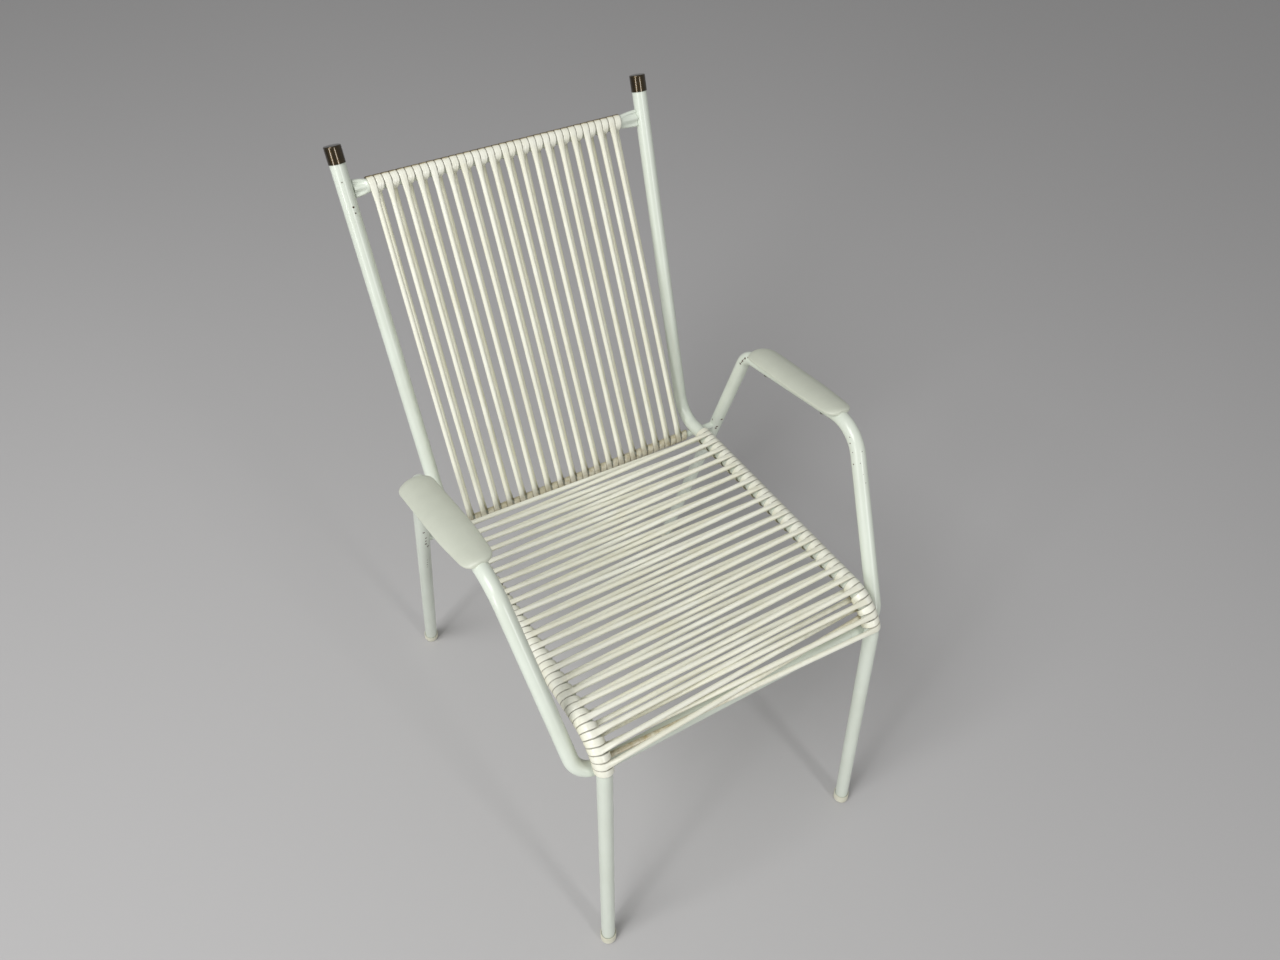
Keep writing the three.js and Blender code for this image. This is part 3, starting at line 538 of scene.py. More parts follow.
# Sizes and depths of the patterns in the finishes.
PAINT_PATCH = 80 * MM
PAINT_PEEL = 3 * MM
CHIP_EDGE = 1.5 * MM
RUST_FLECK = 2.5 * MM
CORD_CLOUD = 30 * MM
CORD_SMEAR = 7 * MM
BRASS_RUB = 6 * MM
PLASTIC_RUB = 28 * MM
ZINC_MOTTLE = 1.5 * MM
SKIN_DEPTH = 0.1 * MM
RIB_DEPTH = 0.2 * MM

# The grain of the moulded plastics is drawn coarser than the real one, so that it shows.
PAD_GRAIN = 1.0 * MM
FOOT_GRAIN = 1.2 * MM

# Angle through which the wave of the cord's ribs runs from its middle to its edge.
RIB_TURN = 9.5

# Roughness of the plastics and the floor, and how much the plastics bend light.
CORD_ROUGHNESS = 0.29
PAD_ROUGHNESS = 0.42
FOOT_ROUGHNESS = 0.5
FLOOR_ROUGHNESS = 0.9
CORD_IOR = 1.53
MOULDED_IOR = 1.49

# Marks that the cords' meshes carry for their material.
CORD_MARKS = ("across", "pressed", "aged", "grime")

# Places where the enamel is chipped to dark steel, as (x, y, z, spread) in millimetres.
CHIPS = [
    (-240.6, 112.3, 422.6, 1.6), (-238.0, 117.0, 404.3, 1.3), (-238.3, 119.2, 395.4, 1.4),
    (-238.6, 121.4, 386.5, 1.7), (-236.0, 124.6, 376.4, 1.8), (-237.8, 135.0, 333.5, 0.8),
    (-238.0, 136.9, 325.9, 0.9), (-238.3, 138.7, 318.2, 0.9), (-238.5, 140.6, 310.5, 0.8),
    (-203.3, 323.3, 814.6, 0.8), (-198.6, 312.0, 787.2, 1.3), (-198.3, 309.4, 780.6, 1.1),
    (185.1, 326.4, 807.2, 1.4), (237.3, 116.6, 407.0, 2.0), (230.1, 129.4, 398.9, 1.5),
    (235.0, 122.1, 387.5, 1.9), (234.2, 123.4, 383.0, 1.7), (230.2, -137.2, 604.9, 0.6),
    (228.9, -141.4, 598.9, 0.9), (231.5, -144.6, 602.2, 0.4), (228.0, -149.9, 591.2, 0.7),
    (236.3, -156.5, 594.9, 0.6), (226.5, -157.9, 578.3, 1.0), (231.3, -163.5, 582.9, 0.7),
    (231.9, -172.2, 571.1, 0.5), (233.1, -179.1, 561.7, 0.6), (231.3, 83.8, 552.8, 1.8),
    (231.5, 85.7, 549.0, 1.2), (231.9, 80.2, 559.9, 1.8), (232.8, 75.4, 565.0, 1.3),
    (231.6, 87.5, 545.0, 1.6), (231.6, 82.0, 556.5, 1.1),
]


def set_sockets(node, sockets):
    """Give a node's inputs their values; one given as another node's output is linked to it."""
    for key, value in sockets.items():
        if isinstance(value, bpy.types.NodeSocket):
            node.id_data.links.new(value, node.inputs[key])
        else:
            node.inputs[key].default_value = value


def add_node(tree, kind, sockets=None, **settings):
    """One shader node with its settings and links; returns the output it passes on."""
    node = tree.nodes.new(kind)
    for name, value in settings.items():
        setattr(node, name, value)
    set_sockets(node, sockets or {})
    return node.outputs[OUTPUTS[kind]]


def start_material(name):
    """A new material, the function that adds its nodes, its shader and its Object coordinates."""
    material = bpy.data.materials.get(name)
    if material:
        bpy.data.materials.remove(material)
    material = bpy.data.materials.new(name)
    material.use_nodes = True
    add = partial(add_node, material.node_tree)
    return material, add, material.node_tree.nodes["Principled BSDF"], add("ShaderNodeTexCoord")


def opaque(rgb):
    """A colour with full alpha, as colour sockets take it."""
    return (*rgb, 1.0)


def enamel_material(finish):
    """White stove enamel on steel tube: a satin coat with a faint orange-peel skin, dulled in patches by
    weather, and chipped through to rust where chairs knock together."""
    material, add, shader, place = start_material("stove_enamel_on_steel")
    paint, shade = opaque(finish.paint), opaque(finish.paint_shade)
    rust, dark = opaque(finish.rust), opaque(finish.rust_dark)
    patches = add(NOISE, {"Vector": place, "Scale": 1 / PAINT_PATCH, "Detail": 3, "Roughness": 0.5})
    dullness = add(RANGE, {"Value": patches, "From Min": 0.4, "From Max": 0.75, "To Max": 0.3})
    coat = add(MIX, {MIX_AMOUNT: dullness, MIX_FROM: paint, MIX_TO: shade}, data_type="RGBA")
    nearness = 0.0
    for x, y, z, spread in CHIPS:
        spot = Vector((x, y, z)) * MM
        distance = add("ShaderNodeVectorMath", {0: place, 1: spot}, operation="DISTANCE")
        ends = {"From Max": 2 * spread * MM, "To Min": 1.0, "To Max": 0.0}
        near = add(RANGE, {"Value": distance, **ends})
        nearness = add(MATH, {0: nearness, 1: near}, operation="MAXIMUM")
    ragged = add(NOISE, {"Vector": place, "Scale": 1 / CHIP_EDGE, "Detail": 2, "Roughness": 0.6})
    eaten = add(MATH, {0: nearness, 1: ragged}, operation="ADD")
    chip = add(RANGE, {"Value": eaten, "From Min": 0.95, "From Max": 1.1})
    flecks = add(NOISE, {"Vector": place, "Scale": 1 / RUST_FLECK, "Detail": 4, "Roughness": 0.7})
    bare = add(MIX, {MIX_AMOUNT: flecks, MIX_FROM: dark, MIX_TO: rust}, data_type="RGBA")
    skin = add(MIX, {MIX_AMOUNT: chip, MIX_FROM: coat, MIX_TO: bare}, data_type="RGBA")
    gloss = add(RANGE, {"Value": chip, "To Min": 0.24, "To Max": 0.85})
    peel = add(NOISE, {"Vector": place, "Scale": 1 / PAINT_PEEL, "Detail": 2})
    sunk = add(MATH, {0: peel, 1: chip}, operation="SUBTRACT")
    bump = add(BUMP, {"Height": sunk, "Strength": 0.1, "Distance": SKIN_DEPTH})
    set_sockets(shader, {"Base Color": skin, "Roughness": gloss, "Normal": bump})
    return material


def cord_material(finish):
    """Ivory PVC cord: extruded, so satin and faintly ribbed along its length. Hidden sides of the wraps and
    the rear strands carry painted shade mixed with a random yellowing; the wraps carry dirt and darkening,
    and painted crease shade where two wraps meet."""
    material, add, shader, place = start_material("extruded_pvc_cord")
    fresh, shaded_ivory = opaque(finish.cord), opaque(finish.cord_shade_and_tint)
    tan, dark = opaque(finish.cord_tan_dirt_and_darkening), opaque(finish.cord_seam)
    marks = [add("ShaderNodeAttribute", attribute_name=name) for name in CORD_MARKS]
    across, pressed, aged, grime = marks
    cloud = add(NOISE, {"Vector": place, "Scale": 1 / CORD_CLOUD, "Detail": 4, "Roughness": 0.6})
    ends = {"From Min": 0.35, "From Max": 0.75, "To Min": -0.1, "To Max": 0.25}
    drift = add(RANGE, {"Value": cloud, **ends})
    # Painted shade on hidden sides and rear strands, with a random drift of yellowing.
    shade_and_yellowing = add(MATH, {0: aged, 1: drift}, operation="ADD", use_clamp=True)
    body = add(MIX, {MIX_AMOUNT: shade_and_yellowing, MIX_FROM: fresh, MIX_TO: shaded_ivory}, data_type="RGBA")
    smear = add(NOISE, {"Vector": place, "Scale": 1 / CORD_SMEAR, "Detail": 6, "Roughness": 0.7})
    # Dirt and darkening from the wraps, broken up by a smear; where it is strongest it turns dark.
    smeared_marks = add(MATH, {0: grime, 1: smear}, operation="MULTIPLY")
    dirt = add(RANGE, {"Value": smeared_marks, "From Min": 0.1, "From Max": 0.45, "To Max": 0.9})
    tan_marked = add(MIX, {MIX_AMOUNT: dirt, MIX_FROM: body, MIX_TO: tan}, data_type="RGBA")
    deep_darkening = add(RANGE, {"Value": smeared_marks, "From Min": 0.5, "From Max": 0.9, "To Max": 0.9})
    skin = add(MIX, {MIX_AMOUNT: deep_darkening, MIX_FROM: tan_marked, MIX_TO: dark}, data_type="RGBA")
    # Painted crease shade: the edges of the pressed wraps, where two wraps meet, are darkened, more where
    # the wraps are darkened already.
    side = add(MATH, {0: across}, operation="ABSOLUTE")
    edge = add(RANGE, {"Value": side, "From Min": 0.7, "From Max": 1.0, "To Max": 0.75})
    deeper = add(MATH, {0: edge, 1: smeared_marks}, operation="ADD")
    depth = add(MATH, {0: edge, 1: deeper}, operation="MULTIPLY")
    seam = add(MATH, {0: depth, 1: pressed}, operation="MULTIPLY")
    lined = add(MIX, {MIX_AMOUNT: seam, MIX_FROM: skin, MIX_TO: dark}, data_type="RGBA")
    phase = add(MATH, {0: across, 1: RIB_TURN}, operation="MULTIPLY")
    ribs = add(MATH, {0: phase}, operation="COSINE")
    raised = add(MATH, {0: ribs, 1: pressed}, operation="MULTIPLY")
    bump = add(BUMP, {"Height": raised, "Strength": 0.2, "Distance": RIB_DEPTH})
    set_sockets(shader, {"Base Color": lined, "Normal": bump, "Roughness": CORD_ROUGHNESS, "IOR": CORD_IOR})
    return material


def brass_material(finish):
    """Drawn brass gone dark under its lacquer: brown metal, a little brighter in places, that mirrors the
    light in thin pale lines."""
    material, add, shader, place = start_material("tarnished_drawn_brass")
    brown, clean = opaque(finish.brass), opaque(finish.brass_bright)
    rubbing = add(NOISE, {"Vector": place, "Scale": 1 / BRASS_RUB, "Detail": 5, "Roughness": 0.65})
    bright = add(RANGE, {"Value": rubbing, "From Min": 0.45, "From Max": 0.8, "To Max": 0.4})
    skin = add(MIX, {MIX_AMOUNT: bright, MIX_FROM: brown, MIX_TO: clean}, data_type="RGBA")
    gloss = add(RANGE, {"Value": rubbing, "To Min": 0.2, "To Max": 0.35})
    set_sockets(shader, {"Base Color": skin, "Roughness": gloss, "Metallic": 1.0})
    set_sockets(shader, {"Coat Weight": 1.0, "Coat Roughness": 0.08})
    return material


def moulded_material(name, fresh, worn, roughness, grain):
    """Injection-moulded plastic: an even satin skin with a fine grain, rubbed paler where hands and floors
    touch."""
    material, add, shader, place = start_material(name)
    fresh, worn = opaque(fresh), opaque(worn)
    rubbing = add(NOISE, {"Vector": place, "Scale": 1 / PLASTIC_RUB, "Detail": 5, "Roughness": 0.6})
    paler = add(RANGE, {"Value": rubbing, "From Min": 0.35, "From Max": 0.85, "To Max": 0.6})
    skin = add(MIX, {MIX_AMOUNT: paler, MIX_FROM: fresh, MIX_TO: worn}, data_type="RGBA")
    fine = add(NOISE, {"Vector": place, "Scale": 1 / grain, "Detail": 3})
    bump = add(BUMP, {"Height": fine, "Strength": 0.08, "Distance": SKIN_DEPTH})
    set_sockets(shader, {"Base Color": skin, "Normal": bump, "Roughness": roughness, "IOR": MOULDED_IOR})
    return material


def zinc_material(finish):
    """Zinc plating on the screws: a dull grey metal with a soft mottle."""
    material, add, shader, place = start_material("zinc_plated_steel")
    mottle = add(NOISE, {"Vector": place, "Scale": 1 / ZINC_MOTTLE, "Detail": 3})
    gloss = add(RANGE, {"Value": mottle, "To Min": 0.35, "To Max": 0.6})
    set_sockets(shader, {"Base Color": opaque(finish.zinc), "Roughness": gloss, "Metallic": 1.0})
    return material


# Windings

# A place on a rail, the lay of a whole cord, one wrap round a rail, and one ring of the cord's skin.
Guide = namedtuple("Guide", "centre radius face outer curvature pitch")
Winding = namedtuple("Winding", "near far lays dirt stain loops crossed")
Wrap = namedtuple("Wrap", "rail begin sense places dirt")
Station = namedtuple("Station", "point normal width thickness pressed aged grime")

# Two wraps share each pitch of a rail, and a whole turn has a place at its start, middle and end.
HALF = 0.5
PLACES_IN_A_TURN = 3

# Angles round a rail: 0 on its face, where the open strands lie, and half a turn on its hidden side.
FACE_SIDE = 0.0
HIDDEN_SIDE = math.pi

# How flat a wrap still is where it lifts off its rail, and the turn in which it gets there.
LIFT_OFF = 0.85
PRESSED_TURN = math.radians(35)

# How square the flat cord's section is, as the power of a sine: 1 is round.
ROUND_POWER = 1.0
FLAT_POWER = 0.5

# Rings along an open strand: shares of its lead at both ends, and a count between them.
LEAD_RINGS = (0.12, 0.3, 0.55, 0.8, 1.0)
STRAND_STATIONS = 14

# Painted shade with a random yellowing on the open strands, least and most: more on the back's rear strands,
# less on the others.
SHADE_TINT_SHELTERED = (0.25, 0.45)
SHADE_TINT_OPEN = (0.0, 0.25)

# Amounts of dirt and darkening on the wraps and of stain along the strands. On the seat both grow past a
# share of the loops, the darkening on the hidden underside of the front bends; on the back the rear rod is
# darker all over and the top rail darker along its crest, past a sine of the angle round it.
LITTLE_DIRT = 0.2
FRONT_DARKENING = 0.9
FRONT_DARKENING_FROM, FRONT_DARKENING_SPAN = 0.75, 0.2
SEAT_STAIN, BACK_STAIN = 0.7, 0.0
STAIN_FROM, STAIN_SPAN = 0.78, 0.15
STAIN_LEAST = 0.3
ROD_DARKENING = 0.55
CREST_DARKENING = 2.0
CREST_FROM, CREST_SPAN = 0.88, 0.1


def seat_darkening(far, share, angle):
    """Darkening of the seat's wraps: a little dirt everywhere, more tan on the hidden underside of the front
    bends.
    """
    front = ease((share - FRONT_DARKENING_FROM) / FRONT_DARKENING_SPAN)
    return blend(LITTLE_DIRT, FRONT_DARKENING, front * ease(-math.cos(angle)))


def back_darkening(far, share, angle):
    """Darkening of the back's wraps: the rear rod's wraps darker all over, the top rail darker along its
    crest.
    """
    if not far:
        return ROD_DARKENING
    return blend(LITTLE_DIRT, CREST_DARKENING, ease((math.sin(angle) - CREST_FROM) / CREST_SPAN))


def strand_shares(span, lead):
    """Shares of an open strand at which it needs a ring: close together at its ends."""
    ends = [lead * part / span for part in LEAD_RINGS]
    inside = [blend(ends[-1], 1 - ends[-1], i / STRAND_STATIONS) for i in range(1, STRAND_STATIONS)]
    return ends + inside + [1 - each for each in reversed(ends)]


def reach(guide, cord):
    """Distance from a rail's axis to the middle of the cord pressed on it."""
    return guide.radius + cord.rail_gap + cord.flat_thickness / 2


def flat_width(guide, cord, angle, slope):
    """Width of a wrap that just fills its share of the rail, which is less inside a bend."""
    bend = guide.curvature * reach(guide, cord)
    spacing = guide.pitch / 2 * (1 + bend * math.cos(angle)) / (1 + bend)
    return spacing / math.hypot(1, slope) - cord.side_gap


def wrap_stations(wrap, cord):
    """Stations of one wrap: pressed flat on its rail, lifting off where it meets the open strands."""
    half_turns = len(wrap.places) - 1
    steps = WRAP_STEPS * half_turns
    stations = []
    for i in range(steps + 1):
        turned = math.pi * half_turns * i / steps
        whole = min(int(turned / math.pi), half_turns - 1)
        place = blend(wrap.places[whole], wrap.places[whole + 1], turned / math.pi - whole)
        angle = wrap.begin + wrap.sense * turned
        guide = wrap.rail(place)
        away = reach(guide, cord)
        slope = (wrap.places[whole + 1] - wrap.places[whole]) * guide.pitch / (math.pi * away)
        normal = guide.face * math.cos(angle) + guide.outer * math.sin(angle)
        from_end = min(turned, math.pi * half_turns - turned)
        pressed = blend(LIFT_OFF, 1, ease(from_end / PRESSED_TURN))
        width = blend(cord.diameter, flat_width(guide, cord, angle, slope), pressed)
        thickness = blend(cord.diameter, cord.flat_thickness, pressed)
        # Painted shade: the wrap gets darker and yellower towards its rail's hidden side.
        hidden_shade = ease((1 - math.cos(angle)) / 2)
        point = guide.centre + normal * away
        stations.append(Station(point, normal, width, thickness, pressed, hidden_shade, wrap.dirt(angle)))
    return stations


def strand_stations(begin, end, cord, offset, aged, stain):
    """Stations of one open strand: round, straight but for a slight bow, and turned from wrap to wrap."""
    line = end.point - begin.point
    span = line.length
    heading = line.normalized()
    beside = heading.cross(begin.normal).normalized()
    upward = beside.cross(heading)
    twist = math.atan2(end.normal.dot(beside), end.normal.dot(upward))
    stations = []
    for part in strand_shares(span, cord.lead):
        bow = 4 * part * (1 - part)
        point = begin.point + line * part + beside * offset * bow
        from_begin = ease(1 - part * span / cord.lead)
        from_end = ease(1 - (1 - part) * span / cord.lead)
        pressed = LIFT_OFF * max(from_begin, from_end)
        width = blend(cord.diameter, begin.width, pressed)
        thickness = blend(cord.diameter, cord.flat_thickness, pressed)
        grime = max(begin.grime * from_begin + end.grime * from_end, stain * ease(part))
        normal = Matrix.Rotation(twist * ease(part), 3, heading) @ upward
        stations.append(Station(point, normal, width, thickness, pressed, aged, grime))
    return stations


def tail(rail, place, cord):
    """The cord's end, tucked behind a rail."""
    guide = rail(place)
    point = guide.centre - guide.face * reach(guide, cord) - guide.outer * cord.tail
    # The tucked end is given full painted shade.
    return Station(point, -guide.face, cord.diameter, cord.flat_thickness, 0.0, 1.0, 0.0)


def wraps_of(winding):
    """All the wraps of a cord in their order: near rail, far rail, near rail and so on. A wrap has a place
    for each half turn, and the last one ends after a whole turn."""
    far_begin, far_sense = (HIDDEN_SIDE, -1) if winding.crossed else (FACE_SIDE, 1)

    def wrap(far, loop, lay):
        share = loop / (winding.loops - 1)
        places = [loop + each for each in lay]

        def dirt(angle):
            return winding.dirt(far, share, angle)

        if far:
            return Wrap(winding.far, far_begin, far_sense, places, dirt)
        return Wrap(winding.near, HIDDEN_SIDE, -1, places, dirt)

    wraps = [wrap(False, 0, [0, 0])]
    for loop in range(winding.loops):
        far_lay, near_lay = winding.lays(loop / (winding.loops - 1))
        wraps.append(wrap(True, loop, far_lay))
        wraps.append(wrap(False, loop, near_lay))
    wraps[-1] = wraps[-1]._replace(places=wraps[-1].places[:PLACES_IN_A_TURN])
    return wraps


def wind_cord(cord, winding, seed):
    """Stations along one cord, from its first tail to its last."""
    stray = random.Random(seed)
    wraps = wraps_of(winding)
    course = [tail(wraps[0].rail, wraps[0].places[0], cord)]
    course += wrap_stations(wraps[0], cord)
    for index, wrap in enumerate(wraps[1:]):
        # Every other strand of the back lies behind the rest and gets more painted shade.
        sheltered = index % 2 == 1 and not winding.crossed
        offset = stray.uniform(-1, 1) * cord.strand_stray
        aged = stray.uniform(*(SHADE_TINT_SHELTERED if sheltered else SHADE_TINT_OPEN))
        ahead = wrap_stations(wrap, cord)
        front = ease((index / len(wraps) - STAIN_FROM) / STAIN_SPAN)
        stain = winding.stain * front * stray.uniform(STAIN_LEAST, 1)
        course += strand_stations(course[-1], ahead[0], cord, offset, aged, stain)
        course += ahead
    course.append(tail(wraps[-1].rail, wraps[-1].places[-1], cord))
    return course


def cord_piece(name, course, material, node):
    """Skin the course of a cord and mark its wraps, its painted shade and tint, and its dirt and darkening
    for the material.
    """
    bm = bmesh.new()
    layers = {key: bm.verts.layers.float.new(key) for key in CORD_MARKS}
    axes = []
    for i, station in enumerate(course):
        before = course[max(i - 1, 0)].point
        after = course[min(i + 1, len(course) - 1)].point
        heading = (after - before).normalized()
        normal = (station.normal - heading * station.normal.dot(heading)).normalized()
        axes.append((normal, heading.cross(normal)))

    def place(vert, ring, angle):
        station = course[ring]
        normal, beside = axes[ring]
        power = blend(ROUND_POWER, FLAT_POWER, station.pressed)
        across = rounded(math.sin(angle), power)
        marks = (across, station.pressed, station.aged, station.grime)
        for key, value in zip(CORD_MARKS, marks):
            vert[layers[key]] = value
        outward = rounded(math.cos(angle), power) * station.thickness / 2
        return station.point + normal * outward + beside * across * station.width / 2

    loft(bm, len(course), CORD_SIDES, place)
    close_ends(bm)
    add_piece(name, bm, material, [node])


# Operators

class PaintTubes(bpy.types.Operator):
    """Bend the side tubes and the arm tubes and paint them"""

    bl_idname = "armchair.bend_tubes"
    bl_label = "Bent tubes"

    def execute(self, context):
        size = context.scene.armchair_tubes
        paint = enamel_material(context.scene.armchair_finish)
        for name, side in SIDES.items():
            for kind, tube in (("side", side_tube(size, side)), ("arm", arm_tube(size, side))):
                paint_tube(f"{name}_{kind}_tube", tube.route, size.tube_diameter, paint)
        return {"FINISHED"}


class PaintRails(bpy.types.Operator):
    """Cut the front, rear and top rails, squash the top rail's ends and paint them"""

    bl_idname = "armchair.cut_rails"
    bl_label = "Cross rails"

    def execute(self, context):
        size = context.scene.armchair_tubes
        paint = bpy.data.materials["stove_enamel_on_steel"]
        diameters = {"front_cross_rail": size.tube_diameter, "rear_cross_rail": size.rod_diameter}
        for node, diameter in diameters.items():
            centre = middle(node)
            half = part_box(node)[1].x * ACROSS
            paint_tube(node, Route([centre - half, centre + half], []), diameter, paint)
        self.add_top_rail(size, paint)
        return {"FINISHED"}

    def add_top_rail(self, size, paint):
        """The top rail: round, with squashed and creased ends."""
        centre = middle("top_back_rail")
        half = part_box("top_back_rail")[1].x
        rise = (centre - middle("rear_cross_rail")).normalized()
        face = ACROSS.cross(rise)
        steps = [i / PINCH_STATIONS for i in range(PINCH_STATIONS + 1)]
        pinches = [1 - each for each in steps] + steps
        stations = [-half + size.pinch_left * each for each in steps]
        stations += [half - size.pinch_right * (1 - each) for each in steps]
        radius = size.top_rail_diameter / 2

        def place(vert, ring, angle):
            x = stations[ring]
            pinch = math.sin(math.pi / 2 * pinches[ring])
            depth = blend(radius, size.pinch_depth / 2, pinch)
            height = blend(radius, size.pinch_height / 2, pinch)
            creases = 1 + size.pinch_crease * pinch * (math.cos(PINCH_CREASES * angle) - 1) / 2
            outward = face * depth * creases * math.cos(angle)
            return centre + ACROSS * (x - centre.x) + outward + rise * height * math.sin(angle)

        bm = bmesh.new()
        loft(bm, len(stations), TUBE_SIDES, place)
        close_ends(bm)
        add_piece("top_back_rail_painted", bm, paint, ["top_back_rail"])


class CapPosts(bpy.types.Operator):
    """Turn the two post caps"""

    bl_idname = "armchair.cap_posts"
    bl_label = "Post caps"

    def execute(self, context):
        size = context.scene.armchair_tubes
        fitting = context.scene.armchair_fittings
        brass = brass_material(context.scene.armchair_finish)
        outer = fitting.cap_diameter / 2
        inner = size.tube_diameter / 2 + fitting.socket_gap
        socket_top = fitting.socket_gap - size.post_inset
        for name, side in SIDES.items():
            tube = side_tube(size, side)
            profile = [(0, socket_top), (inner, socket_top)]
            profile += [(inner, -fitting.cap_height), (outer, -fitting.cap_height)]
            profile += rounded_edge(outer, 0, fitting.cap_edge)
            profile.append((0, 0))
            bm = bmesh.new()
            turn_profile(bm, profile, facing(tube.cap_top, tube.post_axis))
            add_piece(f"{name}_post_cap_brass", bm, brass, [f"{name}_post_cap"])
        return {"FINISHED"}


class FitFeet(bpy.types.Operator):
    """Mould the four feet and wear their soles flat"""

    bl_idname = "armchair.fit_feet"
    bl_label = "Feet"

    def execute(self, context):
        size = context.scene.armchair_tubes
        fitting = context.scene.armchair_fittings
        finish = context.scene.armchair_finish
        plastic = moulded_material(
            "moulded_cream_polythene", finish.foot, finish.cord, FOOT_ROUGHNESS, FOOT_GRAIN,
        )
        for name, side in SIDES.items():
            for end, tube in (("front", side_tube(size, side)), ("rear", arm_tube(size, side))):
                self.add_foot(f"{name}_{end}_foot", tube, size, fitting, plastic)
        return {"FINISHED"}

    def add_foot(self, node, tube, size, fitting, plastic):
        """One foot: a sleeve with a domed end, cut by the floor."""
        outer = fitting.foot_diameter / 2
        dome = (outer ** 2 + fitting.foot_dome ** 2) / (2 * fitting.foot_dome)
        widest = math.asin(outer / dome)
        profile = []
        for i in range(ROUND_STEPS + 1):
            angle = widest * i / ROUND_STEPS
            profile.append((dome * math.sin(angle), dome * (1 - math.cos(angle))))
        top = fitting.foot_dome + fitting.foot_sleeve
        profile += rounded_edge(outer, top, fitting.foot_edge)
        lean = dome * (1 / tube.leg_axis.z - 1)
        depth = fitting.foot_wear / tube.leg_axis.z - lean
        inner = size.tube_diameter / 2 + fitting.socket_gap
        socket_floor = size.leg_lift + depth - fitting.socket_gap
        profile += [(inner, top - fitting.foot_crevice), (inner, socket_floor), (0, socket_floor)]
        bm = bmesh.new()
        turn_profile(bm, profile, facing(tube.foot - tube.leg_axis * depth, tube.leg_axis))
        geometry = bm.verts[:] + bm.edges[:] + bm.faces[:]
        bmesh.ops.bisect_plane(bm, geom=geometry, plane_co=(0, 0, 0), plane_no=UP, clear_inner=True)
        close_ends(bm)
        add_piece(f"{node}_moulded", bm, plastic, [node])


class MouldPads(bpy.types.Operator):
    """Mould the two arm pads"""

    bl_idname = "armchair.mould_pads"
    bl_label = "Arm pads"

    def execute(self, context):
        size = context.scene.armchair_tubes
        fitting = context.scene.armchair_fittings
        finish = context.scene.armchair_finish
        plastic = moulded_material(
            "moulded_grey_green_abs", finish.pad, finish.pad_worn, PAD_ROUGHNESS, PAD_GRAIN,
        )
        for name, side in SIDES.items():
            self.add_pad(f"{name}_arm_pad", arm_tube(size, side), size, fitting, plastic)
        return {"FINISHED"}

    def add_pad(self, node, tube, size, fitting, plastic):
        """One pad: a crowned tongue with a round nose that lies along the arm."""
        arm = tube.route.runs[ARM_RUN]
        centre = arm.start + arm.heading * (arm.length / 2 + fitting.pad_shift)
        level = (UP - arm.heading * UP.dot(arm.heading)).normalized()
        upward = Matrix.Rotation(-tube.side * fitting.pad_roll, 3, arm.heading) @ level
        along = Matrix.Rotation(-tube.side * fitting.pad_toe_out, 3, upward) @ arm.heading
        across = along.cross(upward)
        centre = centre - across * tube.side * fitting.pad_outset
        base = size.tube_diameter / 2 - fitting.pad_saddle
        ends = [(i / PAD_END_STATIONS) ** 2 for i in range(1, PAD_END_STATIONS + 1)]
        rear = [fitting.pad_rear_round * each for each in ends]
        front = [fitting.pad_length - fitting.pad_front_round * each for each in reversed(ends)]
        taper_start = fitting.pad_length - fitting.pad_taper
        taper = [blend(taper_start, front[0], i / ROUND_STEPS) for i in range(ROUND_STEPS)]
        stations = rear + taper + front

        def half_width(distance):
            rear_part = max(0.0, 1 - distance / fitting.pad_rear_round)
            front_part = max(0.0, 1 - (fitting.pad_length - distance) / fitting.pad_front_round)
            narrowing = ease((distance - taper_start) / fitting.pad_taper)
            half = blend(fitting.pad_width, fitting.pad_front_width, narrowing) / 2
            ends_left = (1 - rear_part ** PAD_END_POWER) * (1 - front_part ** PAD_END_POWER)
            return half * ends_left ** (1 / PAD_END_POWER)

        def place(vert, ring, angle):
            distance = stations[ring]
            half = half_width(distance)
            fullness = 2 * half / fitting.pad_width
            wide = rounded(math.cos(angle), PAD_SIDE_POWER)
            tall = rounded(math.sin(angle), PAD_FACE_POWER)
            rise = (fitting.pad_thickness - fitting.pad_edge) * fullness
            crown = rise * (1 - wide ** 2) * max(0.0, tall)
            height = base + fitting.pad_edge * (1 + tall) / 2 + crown
            forward = along * (distance - fitting.pad_length / 2)
            return centre + forward + across * wide * half + upward * height

        bm = bmesh.new()
        loft(bm, len(stations), PAD_SIDES, place)
        close_ends(bm)
        add_piece(f"{node}_moulded", bm, plastic, [node])


class PlateScrews(bpy.types.Operator):
    """Plate the four screws that hold the pads"""

    bl_idname = "armchair.plate_screws"
    bl_label = "Pad screws"

    def execute(self, context):
        zinc = zinc_material(context.scene.armchair_finish)
        for side in SIDES:
            for end in ("front", "rear"):
                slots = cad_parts[f"{side}_pad_{end}_screw"].data.materials
                slots.clear()
                slots.append(zinc)
        return {"FINISHED"}


